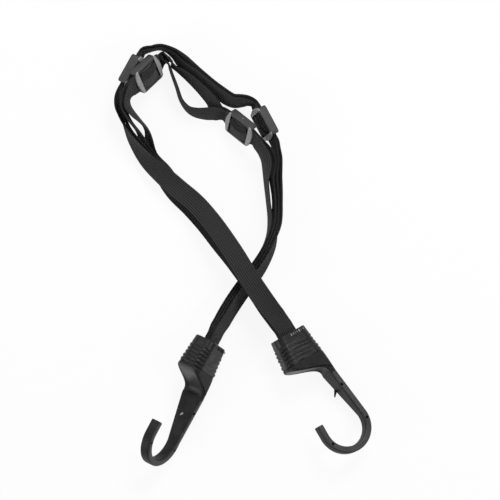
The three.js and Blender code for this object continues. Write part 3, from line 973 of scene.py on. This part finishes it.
    def strip(
        self, tool: NodeTool, name: str, path: tuple[np.ndarray, np.ndarray], finish: Material,
        width: float | None = None,
    ) -> Object:
        """Sweeps a ribbed strip along a path.

        Args:
            tool: The strap tree.
            name: The piece's name.
            path: Places in millimetres and unit normals.
            finish: Its material.
            width: Its width where it isn't the whole strap's.

        Returns:
            The strip.
        """
        centre, facing = path
        mesh = bpy.data.meshes.new(f"{name}_line")
        mesh.from_pydata((centre * MM).tolist(), [(i, i + 1) for i in range(len(centre) - 1)], [])
        steps = np.linalg.norm(np.diff(centre, axis=0), axis=1)
        vectors = {"facing": facing, "drawn": self.bunching(centre, facing)}
        numbers = {"along": np.concatenate([[0.0], np.cumsum(steps)]) * MM, "slack": self.slack(centre)}
        for label, values in vectors.items():
            layer = mesh.attributes.new(label, "FLOAT_VECTOR", "POINT")
            layer.data.foreach_set("vector", values.ravel())
        for label, values in numbers.items():
            mesh.attributes.new(label, "FLOAT", "POINT").data.foreach_set("value", values)
        piece = tool.run(mesh, name, {
            "Width": (width or self.width) * MM,
            "Thickness": self.thickness * MM,
            "Ribs": self.ribs,
            "Groove": self.groove * MM,
            "Curl": self.curl * MM,
            "Points": self.section_points,
            "Material": finish,
        })
        face_outwards(piece.data)
        return piece

    def build(self, finishes: Finishes) -> None:
        """Args:
            finishes: The cord's materials.
        """
        tool = self.tool()
        for run in Run:
            path = self.path(run)
            # The top run keeps the plain webbing; the others get a lighter copy of it: painted light
            finish = finishes.webbing if run is Run.REAR_OUTER else finishes.lightened_webbing
            piece = self.strip(tool, f"webbing_{run.name.lower()}", path, finish)
            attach(piece, CORD_BODY)
            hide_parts(run.node)
            length = float(np.sum(np.linalg.norm(np.diff(path[0], axis=0), axis=1))) * MM
            exit_point = HOOKS[Side.LEFT].matrix().translation * MM
            LOG.info("%s: %.3f m, %d faces", piece.name, length, len(piece.data.polygons))


def curve_point(points: np.ndarray, leg: int, share: float) -> np.ndarray:
    """Point of a centripetal Catmull-Rom curve.

    Args:
        points: The points it passes.
        leg: Which leg.
        share: How far along the leg, from 0 to 1.

    Returns:
        The point.
    """
    start, end = points[leg], points[leg + 1]
    before = points[leg - 1] if leg > 0 else 2 * start - end
    after = points[leg + 2] if leg + 2 < len(points) else 2 * end - start
    legs = ((before, start), (start, end), (end, after))
    gaps = [math.sqrt(float(np.linalg.norm(b - a))) for a, b in legs]
    middle = gaps[1] if gaps[1] > LEAST_GAP else 1.0
    first, last = (gap if gap > LEAST_GAP else middle for gap in gaps[::2])
    leave = ((start - before) / first - (end - before) / (first + middle) + (end - start) / middle) * middle
    arrive = ((end - start) / middle - (after - start) / (middle + last) + (after - end) / last) * middle
    square = -3 * start + 3 * end - 2 * leave - arrive
    cube = 2 * start - 2 * end + leave + arrive
    return start + leave * share + square * share ** 2 + cube * share ** 3


@dataclass(frozen=True)
class Burr:
    """Gate stub on a hook's inner face, in millimetres from the mouth and from the hook's middle plane."""

    along: float
    aside: float
    length: float
    lean: float
    thick: float
    # Whether the stub takes the light plastic: a painted glint
    bright: bool


@dataclass
class JHook:
    """J-hook moulding: dished body, flat bar that tapers, and J with a square tip.

    Lengths are in millimetres. Places in the body are shares of its length.
    """

    shoulder: float = 24.3
    shoulder_lap: float = 2.0
    neck_inset: float = 0.4
    body_width: float = 35.0
    body_depth: float = 21.6
    body_corner: float = 8.5
    body_length: float = 20.0
    body_rings: int = 36
    corner_ease: float = 0.6
    dish_start: float = 0.12
    scoop: float = 4.4
    scoop_margin: float = 1.9
    scoop_start: float = 0.1
    scoop_length: float = 0.84
    scoop_ease: float = 1.5
    scoop_flat: int = 4
    scoop_round: float = 0.7
    neck_ridge: float = 0.3
    ridge_place: float = 0.93
    ridge_width: float = 0.035
    edge_groove: float = 1.3
    groove_place: float = 3.4
    groove_width: float = 0.9
    groove_start: float = 0.15
    groove_end: float = 0.92
    groove_ease: float = 0.2
    bar_thickness: float = 5.4
    bar_corner: float = 1.7
    bar_rings: int = 24
    root_depth: float = 19.5
    flare: float = math.radians(10.5)
    bend_radius: float = 19.4
    bend_distance: float = 86.6
    bend_depth: float = 10.0
    bend_rings: int = 72
    tip_depth: float = 8.6
    tip_length: float = 9.8
    tip_rings: int = 8
    tip_round: float = 0.5
    tip_inset: float = 0.45
    corner_points: int = 13
    flat_points: int = 25
    pit_along: float = 56.5
    pit_angles: tuple[float, ...] = (8.0, 158.0)
    pit_radius: float = 1.15
    pit_shift: float = -1.1
    pit_depth: float = 2.2
    pit_rim: float = 0.5
    pit_sides: int = 20
    left_burr: Burr = Burr(60.0, -1.1, 2.0, 1.0, 1.3, True)
    right_burr: Burr = Burr(58.6, -6.4, 3.4, 1.2, 2.4, False)
    burr_profile: tuple = ((-0.2, 0.8), (0.2, 0.7), (0.5, 0.5), (0.92, 0.4), (1.0, 0.2))
    burr_sides: int = 14
    # Slot, upward facing and place in the body of the painted highlight on the hook
    highlight_slot: int = 2
    highlight_facing: float = 0.6
    dish_highlight_facing: float = 0.2
    dish_highlight_span: Pair = (0.1, 0.9)

    @property
    def root(self) -> float:
        """Where the flat bar starts, from the mouth."""
        return self.shoulder + self.body_length

    @property
    def reach(self) -> float:
        """Length of the flat bar, along the hook."""
        return self.bend_distance - self.bend_radius * math.sin(self.flare) - self.root

    def shank(self, along: float) -> float:
        """Place of the flat bar's middle across the hook, at a distance from the mouth."""
        return (self.body_width - self.bar_thickness) / 2 + (along - self.root) * math.tan(self.flare)

    def bend(self, angle: float) -> Pair:
        """Point of the J's middle line.

        Args:
            angle: Angle round the J's centre.

        Returns:
            Its place along and across the hook.
        """
        centre = self.shank(self.root + self.reach) - self.bend_radius * math.cos(self.flare)
        out, aside = self.bend_radius * math.sin(angle), self.bend_radius * math.cos(angle)
        return self.bend_distance + out, centre + aside

    def ring(
        self, along: float, across: float, turn: float, width: float, depth: float, corner: float,
        scoop: float = 0.0, groove: float = 0.0,
    ) -> np.ndarray:
        """Section standing across the hook's plane.

        Args:
            along: Distance from the mouth.
            across: Place across the hook.
            turn: How far the section is turned in the hook's plane.
            width: Width in that plane.
            depth: Depth out of it.
            corner: Radius of its edges.
            scoop: How far its inner side is hollowed.
            groove: Depth of the line along its upward face, beside the inner edge.

        Returns:
            The ring's points.
        """
        points = rounded_section(width, depth, corner, self.corner_points, self.flat_points)
        line = (points[:, 0] + width / 2 - self.groove_place) / self.groove_width
        points[:, 1] -= np.where(points[:, 1] > 0, groove * np.exp(-line ** 2), 0)
        reach = depth / 2 - self.scoop_margin
        hollow = scoop * np.clip(1 - (points[:, 1] / reach) ** self.scoop_flat, 0, None) ** self.scoop_round
        points[:, 0] += np.where(points[:, 0] < 0, hollow, 0)
        return np.column_stack((
            along - math.sin(turn) * points[:, 0],
            across + math.cos(turn) * points[:, 0],
            points[:, 1],
        ))

    def body(self, share: float) -> np.ndarray:
        """Section of the dished body.

        Args:
            share: Place in the body.

        Returns:
            The ring's points.
        """
        outer = self.body_width / 2
        fall = smooth((share - self.dish_start) / (1 - self.dish_start))
        inner = -outer + (2 * outer - self.bar_thickness) * (1 - (1 - fall) ** 2)
        depth = self.body_depth + (self.root_depth - self.body_depth) * share
        corner = self.body_corner + (self.bar_corner - self.body_corner) * share ** self.corner_ease
        arc = min(max((share - self.scoop_start) / self.scoop_length, 0.0), 1.0)
        scoop = self.scoop * math.sin(math.pi * arc) ** self.scoop_ease
        scoop -= self.neck_ridge * math.exp(-((share - self.ridge_place) / self.ridge_width) ** 2)
        fade = smooth((self.groove_end - share) / self.groove_ease)
        groove = self.edge_groove * smooth(share / self.groove_start) * fade
        along = self.shoulder + share * self.body_length
        return self.ring(along, (outer + inner) / 2, 0, outer - inner, depth, corner, scoop, groove)

    def bar(self, along: float, across: float, turn: float, depth: float, inset: float = 0.0) -> np.ndarray:
        """Section of the flat bar, with its edges drawn in by an inset."""
        width = self.bar_thickness - 2 * inset
        return self.ring(along, across, turn, width, depth - 2 * inset, self.bar_corner)

    def rings(self) -> np.ndarray:
        """Rings of the whole moulding, from the shoulder to the tip.

        Returns:
            Points by ring, point and axis.
        """
        width, depth = (size - 2 * self.neck_inset for size in (self.body_width, self.body_depth))
        rings = [
            self.ring(self.shoulder - back, 0, 0, width, depth, self.body_corner)
            for back in (self.shoulder_lap, 0.0)
        ]
        rings.extend(self.body(step / self.body_rings) for step in range(self.body_rings))
        for step in range(self.bar_rings):
            share = step / self.bar_rings
            along = self.root + share * self.reach
            depth = self.root_depth + (self.bend_depth - self.root_depth) * share
            rings.append(self.bar(along, self.shank(along), self.flare, depth))
        for step in range(self.bend_rings + 1):
            share = step / self.bend_rings
            angle = -self.flare + (math.pi + self.flare) * share
            depth = self.bend_depth + (self.tip_depth - self.bend_depth) * share
            rings.append(self.bar(*self.bend(angle), -angle, depth))
        _, across = self.bend(math.pi)
        for step in range(1, self.tip_rings + 1):
            along = self.bend_distance - self.tip_length * step / self.tip_rings
            rings.append(self.bar(along, across, -math.pi, self.tip_depth))
        end = self.bend_distance - self.tip_length - self.tip_round
        rings.append(self.bar(end, across, -math.pi, self.tip_depth, self.tip_inset))
        return np.array(rings)

    def pits(self) -> list[tuple[Vector, float]]:
        """Ejector pits in the bar's upward side.

        Returns:
            Each pit's centre in the hook's frame, and the height of the side there.
        """
        spots = [(
            self.pit_along, self.shank(self.pit_along) + self.pit_shift,
            (self.pit_along - self.root) / self.reach, self.root_depth, self.bend_depth,
        )]
        for degrees in self.pit_angles:
            angle = math.radians(degrees)
            spots.append((*self.bend(angle), angle / math.pi, self.bend_depth, self.tip_depth))
        return [
            (Vector((along, across, 0)), (first + (last - first) * share) / 2)
            for along, across, share, first, last in spots
        ]

    def burr(self, stub: Burr) -> np.ndarray:
        """Rings of the small gate stub left on the bar's inner face.

        Args:
            stub: Where it stands and how far it leans.

        Returns:
            Points by ring, point and axis.
        """
        across = self.shank(stub.along) - self.bar_thickness / 2
        turn = np.linspace(0, math.tau, self.burr_sides, endpoint=False)
        rings = []
        for share, radius in self.burr_profile:
            out = share * stub.length
            rings.append(np.column_stack((
                stub.along + stub.thick * radius * np.cos(turn) + stub.lean * out,
                np.full(self.burr_sides, across - out),
                stub.thick * radius * np.sin(turn) + stub.aside,
            )))
        return np.array(rings)

    def build(self, finishes: Finishes) -> None:
        """Makes both hooks.

        Args:
            finishes: The cord's materials.
        """
        for side, spot in HOOKS.items():
            hook = mesh_object(f"moulding_{side.value}", loft(f"moulding_{side.value}", self.rings()))
            self.drill(hook)
            self.paint_hook_highlights(hook.data)
            stub = self.left_burr if side is Side.LEFT else self.right_burr
            burr = loft("burr", self.burr(stub))
            # A glinting stub takes slot 1, the light plastic: painted glint
            burr.polygons.foreach_set("material_index", [int(stub.bright)] * len(burr.polygons))
            with editing(hook.data) as shape:
                shape.from_mesh(burr)
                shape.transform(spot.metres())
            bpy.data.meshes.remove(burr)
            # Slot 1 is the lighter plastic of a glinting burr, slot 2 the painted highlight of the upward
            # faces and dish
            for finish in (finishes.hook, finishes.highlight_plastic, finishes.hook_highlight):
                hook.data.materials.append(finish)
            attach(hook, CORD_BODY)
            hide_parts(f"hook_{side.value}")
            LOG.info("%s: %d faces", hook.name, len(hook.data.polygons))

    def paint_hook_highlights(self, mesh: Mesh) -> None:
        """Gives the bar's upward side, apart from the pits, and the dish a lighter plastic: a painted
        highlight.

        Args:
            mesh: The moulding, in its own frame.
        """
        pits = [centre.xy for centre, _ in self.pits()]
        start, end = self.dish_highlight_span
        dish_half = self.root_depth / 2 - self.scoop_margin
        for face in mesh.polygons:
            spot = face.center / MM
            clear = all((spot.xy - pit).length > self.pit_radius for pit in pits)
            share = (spot.x - self.shoulder) / self.body_length
            # Upward faces of the bar, and dish faces that look inwards, take the lighter plastic: painted
            # highlight
            hook_highlight = clear and share > 1 and face.normal.z > self.highlight_facing
            inside = start < share < end and abs(spot.z) < dish_half
            if hook_highlight or (inside and face.normal.y < -self.dish_highlight_facing):
                face.material_index = self.highlight_slot

    def drill(self, hook: Object) -> None:
        """Cuts the ejector pits into the bar's upward side.

        Args:
            hook: The moulding, in its own frame.
        """
        cutter = bmesh.new()
        for centre, top in self.pits():
            middle = top + self.pit_rim - self.pit_depth / 2
            bmesh.ops.create_cone(
                cutter, cap_ends=True, segments=self.pit_sides,
                radius1=self.pit_radius * MM, radius2=self.pit_radius * MM,
                depth=(self.pit_depth + 2 * self.pit_rim) * MM,
                matrix=Matrix.Translation((centre.x * MM, centre.y * MM, middle * MM)),
            )
        mesh = bpy.data.meshes.new("pit_cutter")
        cutter.to_mesh(mesh)
        cutter.free()
        tool = mesh_object("pit_cutter", mesh)
        cut = hook.modifiers.new("pits", "BOOLEAN")
        cut.operation = "DIFFERENCE"
        cut.solver = "EXACT"
        cut.object = tool
        plain = hook.data
        hook.data = baked(hook)
        bpy.data.meshes.remove(plain)
        bpy.data.objects.remove(tool)
        bpy.data.meshes.remove(mesh)


@dataclass
class Sleeve:
    """Ribbed boot over the hook's plug, with a row of teeth at its mouth, in millimetres."""

    length: float = 24.0
    mouth_width: float = 29.5
    mouth_depth: float = 19.5
    body_width: float = 35.0
    body_depth: float = 21.6
    corner: float = 7.5
    corner_points: int = 14
    flat_points: int = 10
    skin_rings: int = 90
    collar_wave: float = 0.12
    collar_scale: Pair = (0.4, 2.0)
    rib_count: int = 5
    rib_height: float = 1.5
    rib_sink: float = 0.55
    rib_start: float = 7.5
    rib_ease: float = 0.8
    rib_wander: float = 0.9
    wander_scale: float = 1.3
    rib_sizes: Pair = (0.75, 0.45)
    size_scale: Pair = (3.1, 1.7)
    lip: float = 0.7
    lip_rings: tuple = ((0.25, -0.2), (0.0, -0.7))
    slot_width: float = 17.0
    slot_depth: float = 6.55
    slot_corner: float = 1.2
    front_wall: float = 2.4
    seeds: Pair = (3.7, 5.1)
    teeth: int = 7
    tooth_start: Pair = (2.3, -1.4)
    tooth_lift: float = 0.02
    tooth_step: float = 1.95
    tooth_size: Triple = (2.8, 0.95, 0.6)
    tooth_sides: int = 10
    tooth_radii: Pair = (0.35, 0.5)
    tooth_jitter: Pair = (0.6, 1.15)
    tooth_seed: int = 7

    def ring(self, along: float, swell: Callable[[float], float]) -> np.ndarray:
        """Ring of the sleeve's skin.

        Args:
            along: Distance from the mouth.
            swell: How far the skin stands out, by the angle round the sleeve.

        Returns:
            The ring's points.
        """
        share = along / self.length
        width = self.mouth_width + (self.body_width - self.mouth_width) * share
        depth = self.mouth_depth + (self.body_depth - self.mouth_depth) * share
        points = rounded_section(width, depth, self.corner, self.corner_points, self.flat_points)
        angles = np.arctan2(points[:, 1] / depth, points[:, 0] / width)
        out = points / np.linalg.norm(points, axis=1, keepdims=True)
        points = points + out * np.array([[swell(angle)] for angle in angles])
        return np.column_stack((np.full(len(points), along), points))

    def swell(self, along: float, angle: float, seed: float) -> float:
        """How far the ribs and wrinkles stand out at one spot of the skin.

        Args:
            along: Distance from the mouth.
            angle: Angle round the sleeve.
            seed: Shifts the wrinkles, so that the two sleeves differ.

        Returns:
            The height, below 0 in the valleys.
        """
        x, y = math.cos(angle), math.sin(angle)
        past = along - self.rib_start
        if past < -self.rib_ease:
            steep, turn = self.collar_scale
            return self.collar_wave * noise.noise(Vector((along * steep, x * turn, y * turn + seed)))
        turn = self.wander_scale
        wander = noise.noise(Vector((x * turn, y * turn, seed))) * self.rib_wander
        phase = (past + wander) * self.rib_count / (self.length - self.rib_start)
        crest = abs(math.sin(math.pi * phase))
        step, turn = self.size_scale
        uneven = noise.noise(Vector((math.floor(phase) * step, x * turn, y * turn + seed)))
        size = min(1.0, self.rib_sizes[0] + self.rib_sizes[1] * uneven)
        rise = smooth((past + self.rib_ease) / (2 * self.rib_ease))
        fall = smooth((self.length - along) / self.rib_ease)
        return self.rib_height * (size * crest ** 0.5 - self.rib_sink) * rise * fall

    def skin(self, seed: float) -> np.ndarray:
        """Rings of the boot, from its open back to the slot in its front wall.

        Args:
            seed: Shifts the wrinkles, so that the two sleeves differ.

        Returns:
            Points by ring, point and axis.
        """
        rings = [
            self.ring(along, lambda angle: self.swell(along, angle, seed))
            for along in np.linspace(self.length, self.lip, self.skin_rings).tolist()
        ]
        rings.extend(self.ring(along, lambda angle: inset) for along, inset in self.lip_rings)
        slot = rounded_section(
            self.slot_width, self.slot_depth, self.slot_corner, self.corner_points, self.flat_points
        )
        for along in (0.0, self.front_wall):
            rings.append(np.column_stack((np.full(len(slot), along), slot)))
        return np.array(rings)

    def tooth_tool(self) -> NodeTool:
        """Tree that sets a row of small teeth along a line.

        Returns:
            The tree.
        """
        tool = NodeTool("tooth_row", {
            "Count": "Int",
            "Start": "Vector",
            "Step": "Vector",
            "Turn": "Vector",
            "Size": "Vector",
            "Material": "Material",
        })
        graph = tool.graph
        row = graph.value("GeometryNodeMeshLine", {"mode": "OFFSET"}, {
            "Count": tool.given("Count"),
            "Start Location": tool.given("Start"),
            "Offset": tool.given("Step"),
        })
        top, bottom = self.tooth_radii
        tooth = graph.value("GeometryNodeMeshCone", {"fill_type": "NGON"}, {
            "Vertices": self.tooth_sides,
            "Radius Top": top,
            "Radius Bottom": bottom,
            "Depth": 1.0,
        })
        least, most = self.tooth_jitter
        sockets = {"Min": least, "Max": most, "Seed": self.tooth_seed}
        jitter = graph.value("FunctionNodeRandomValue", {"data_type": "FLOAT"}, sockets, output=1)
        teeth = graph.value("GeometryNodeInstanceOnPoints", None, {
            "Points": row,
            "Instance": tooth,
            "Rotation": tool.given("Turn"),
            "Scale": graph.scaled(tool.given("Size"), jitter),
        })
        tool.close(teeth)
        return tool

    def build(self, finishes: Finishes) -> None:
        """Makes both sleeves and their rows of teeth.

        Args:
            finishes: The cord's materials.
        """
        tool = self.tooth_tool()
        first_seed, seed_step = self.seeds
        for number, (side, spot) in enumerate(HOOKS.items()):
            mesh = loft(f"boot_{side.value}", self.skin(first_seed + seed_step * number))
            mesh.transform(spot.metres())
            boot = mesh_object(f"boot_{side.value}", mesh)
            boot.data.materials.append(finishes.sleeve)
            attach(boot, CORD_BODY)
            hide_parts(f"sleeve_{side.value}")
            start = (*self.tooth_start, self.mouth_depth / 2 + self.tooth_lift)
            teeth = tool.run(bpy.data.meshes.new("teeth_start"), f"mouth_teeth_{side.value}", {
                "Count": self.teeth,
                "Start": tuple(size * MM for size in start),
                "Step": (0.0, self.tooth_step * MM, 0.0),
                "Turn": (0.0, 0.0, 0.0),
                "Size": tuple(size * MM for size in self.tooth_size),
                # The right row takes the light plastic, a painted glint; the left row keeps the sleeve's
                # rubber
                "Material": finishes.highlight_plastic if side is Side.RIGHT else finishes.sleeve,
            })
            teeth.data.transform(spot.metres())
            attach(teeth, CORD_BODY)
            LOG.info("%s: %d faces", boot.name, len(boot.data.polygons))


@dataclass
class Slider:
    """Strap slider: the CAD frame with softened edges, and the webbing folded in its window.

    Lengths are in millimetres.
    """

    merge: float = 0.01
    flat_angle: float = math.radians(3)
    edge: float = 0.9
    edge_steps: int = 3
    edge_angle: float = math.radians(30)
    sharp_angle: float = math.radians(40)
    bar_from: float = 9.6
    bar_height: float = 1.0
    wall_place: float = 10.9
    wall_margin: float = 0.05
    pip: float = 0.45
    pip_height: float = 0.3
    gate_up: str = "slider_front_right"
    window_half: float = 9.2
    window_gap: float = 1.1
    rest_height: float = 2.1
    crest: float = 3.5
    fold_points: int = 25
    lap_width: float = 6.0
    lap_aside: float = -5.3
    lap_rise: float = 1.7
    lap_sag: float = 2.0

    def frame_piece(self, node: str, finishes: Finishes) -> Object:
        """Copies a slider's solid, rounds its edges, adds its pip, and gives its bar tops and pip a lighter
        plastic: a painted highlight.

        Args:
            node: The slider's CAD node.
            finishes: The cord's materials.

        Returns:
            The rounded frame.
        """
        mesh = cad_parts[node].data.copy()
        with editing(mesh) as shape:
            bmesh.ops.remove_doubles(shape, verts=shape.verts, dist=self.merge * MM)
            bmesh.ops.dissolve_limit(
                shape, angle_limit=self.flat_angle, use_dissolve_boundaries=False,
                verts=shape.verts, edges=shape.edges,
            )
        mesh.materials.clear()
        mesh.materials.append(finishes.slider)
        mesh.materials.append(finishes.highlight_plastic)
        piece = mesh_object(node.replace("slider", "glide"), mesh)
        bevel = piece.modifiers.new("edges", "BEVEL")
        bevel.width = self.edge * MM
        bevel.segments = self.edge_steps
        bevel.limit_method = "ANGLE"
        bevel.angle_limit = self.edge_angle
        soft = baked(piece)
        piece.data = soft
        bpy.data.meshes.remove(mesh)
        place = SLIDERS[node].matrix()
        gate = -self.wall_place if node == self.gate_up else self.wall_place
        with editing(soft) as shape:
            for end in (-1, 1):
                bmesh.ops.bisect_plane(
                    shape, geom=[*shape.verts, *shape.edges, *shape.faces],
                    plane_co=place @ Vector((end * self.bar_from, 0, 0)) * MM,
                    plane_no=place.to_3x3().col[0],
                )
            bmesh.ops.create_icosphere(
                shape, subdivisions=2, radius=self.pip * MM,
                matrix=Matrix.Translation(place @ Vector((0, gate, self.pip_height)) * MM),
            )
        inverse = place.inverted()
        for face in soft.polygons:
            face.use_smooth = True
            spot = inverse @ (face.center / MM)
            # End-bar tops, and faces beyond the wall line such as the pip's outer half, take the lighter
            # plastic: painted highlight
            bar = abs(spot.x) > self.bar_from and spot.z > self.bar_height
            face.material_index = int(bar or abs(spot.y) > self.wall_place + self.wall_margin)
        soft.set_sharp_from_angle(angle=self.sharp_angle)
        return piece

    def fold_path(
        self, spot: Placement, aside: float = 0.0, sag: float = 0.0, rise: float = 0.0
    ) -> tuple[np.ndarray, np.ndarray]:
        """Line of the webbing's fold in the slider's window.

        Args:
            spot: Where the slider sits.
            aside: How far its ends lie off the window's middle.
            sag: How far its middle hangs past its ends.
            rise: Height above the lowest layer.

        Returns:
            Places in millimetres and unit normals.
        """
        matrix = spot.matrix()
        turn = matrix.to_3x3()
        half = self.window_half - self.window_gap
        swell = self.crest - self.rest_height
        shares = np.linspace(-1, 1, self.fold_points)
        bulge = 1 - shares ** 2
        heights = self.rest_height + rise + swell * bulge
        asides = aside + sag * bulge
        places = [matrix @ Vector((half * s, a, h)) for s, a, h in zip(shares, asides, heights)]
        normals = [turn @ Vector((2 * swell * s / half, 0, 1)).normalized() for s in shares]
        return np.array(places), np.array(normals)

    def build(self, webbing: Webbing, finishes: Finishes) -> None:
        """Makes the four sliders with their folds.

        Args:
            webbing: The elastic, for the folds.
            finishes: The cord's materials.
        """
        tool = webbing.tool()
        for node, spot in SLIDERS.items():
            piece = self.frame_piece(node, finishes)
            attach(piece, node)
            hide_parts(node)
            fold = self.fold_path(spot)
            lap = self.fold_path(spot, self.lap_aside, self.lap_sag, self.lap_rise)
            layers = (
                # The fold is in a lighter copy of the webbing: painted light; the lap keeps the plain
                # webbing
                webbing.strip(tool, node.replace("slider", "fold"), fold, finishes.fold_lit_webbing),
                webbing.strip(tool, node.replace("slider", "lap"), lap, finishes.webbing, self.lap_width),
            )
            for layer in layers:
                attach(layer, node)
            LOG.info("%s: %d faces", piece.name, len(piece.data.polygons))


@dataclass
class Studio:
    """Pale floor, soft light and a camera straight above, in metres."""

    centre: Pair = (0.00563, 0.00418)
    span: float = 0.4
    camera_height: float = 3.01
    subject_height: float = 0.01
    sensor: float = 36.0
    floor_half: float = 3.0
    floor_drop: float = 0.0004
    paper: float = 0.86
    glow_share: float = 0.9
    sky: float = 0.28
    lamps: tuple = (
        ("key", (0.35, 1.0, 1.15), 0.6, 14.0),
        ("right", (1.0, -0.15, 0.9), 0.5, 5.0),
        ("left", (-1.1, 0.88, 0.85), 0.6, 4.0),
        ("low", (-1.3, -0.55, 0.62), 0.7, 8.0),
    )

    def floor(self) -> None:
        """Makes the floor, which stays pale for the camera and keeps a faint shadow."""
        half = self.floor_half
        corners = [(-half, -half, 0), (half, -half, 0), (half, half, 0), (-half, half, 0)]
        mesh = bpy.data.meshes.new("floor")
        mesh.from_pydata(corners, [], [(0, 1, 2, 3)])
        floor = mesh_object("floor", mesh)
        floor.location.z = -self.floor_drop
        shader = Shader("pale_floor")
        ray = shader.node("ShaderNodeLightPath")
        kinds = ("Is Camera Ray", "Is Glossy Ray", "Is Transmission Ray")
        camera, glossy, through = (Value(shader, ray.outputs[kind]) for kind in kinds)
        seen = camera.or_more(glossy).or_more(through)
        paper = shader.value("ShaderNodeBsdfDiffuse", None, {"Color": (*[self.paper] * 3, 1.0)})
        glow = shader.value("ShaderNodeEmission", None, {"Color": (1, 1, 1, 1), "Strength": 1.0})
        shown = shader.value("ShaderNodeMixShader", None, {0: seen * self.glow_share, 1: paper, 2: glow})
        shader.node("ShaderNodeOutputMaterial", None, {"Surface": shown})
        mesh.materials.append(shader.material)

    def lights(self) -> None:
        """Sets the world and the soft lamps: name, place, size and watts of each."""
        world = bpy.data.worlds.new("studio")
        bpy.context.scene.world = world
        world.use_nodes = True
        graph = Graph(world.node_tree)
        back = graph.value("ShaderNodeBackground", None, {"Color": (1, 1, 1, 1), "Strength": self.sky})
        graph.node("ShaderNodeOutputWorld", None, {"Surface": back})
        for name, place, size, power in self.lamps:
            lamp = bpy.data.lights.new(name, "AREA")
            lamp.size = size
            lamp.energy = power
            stand = bpy.data.objects.new(name, lamp)
            stand.location = place
            stand.rotation_euler = (-Vector(place)).to_track_quat("-Z", "Y").to_euler()
            bpy.context.scene.collection.objects.link(stand)

    def camera(self) -> None:
        """Puts the camera straight above, framed as the photograph."""
        lens = bpy.data.cameras.new("camera")
        lens.sensor_width = self.sensor
        lens.lens = self.sensor * (self.camera_height - self.subject_height) / self.span
        camera = bpy.data.objects.new("camera", lens)
        camera.location = (*self.centre, self.camera_height)
        bpy.context.scene.collection.objects.link(camera)
        bpy.context.scene.camera = camera

    def build(self) -> None:
        """Sets up the whole studio."""
        self.floor()
        self.lights()
        self.camera()
        bpy.context.scene.view_settings.view_transform = "Standard"


def dress_crimps(finishes: Finishes) -> None:
    """Gives the crimps, which stay as CAD solids, their steel.

    Args:
        finishes: The cord's materials.
    """
    for side in Side:
        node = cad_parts[f"crimp_{side.value}"]
        node.data.materials.clear()
        node.data.materials.append(finishes.crimp)
        LOG.info("%s: CAD solid in steel", node.name)


def main() -> None:
    """Builds the studio and every sub-assembly in order."""
    logging.basicConfig(level=logging.INFO, format="%(name)s: %(message)s")
    Studio().build()
    finishes = Finishes.make()
    webbing = Webbing()
    webbing.build(finishes)
    JHook().build(finishes)
    Sleeve().build(finishes)
    Slider().build(webbing, finishes)
    dress_crimps(finishes)


if __name__ == "__main__":
    main()
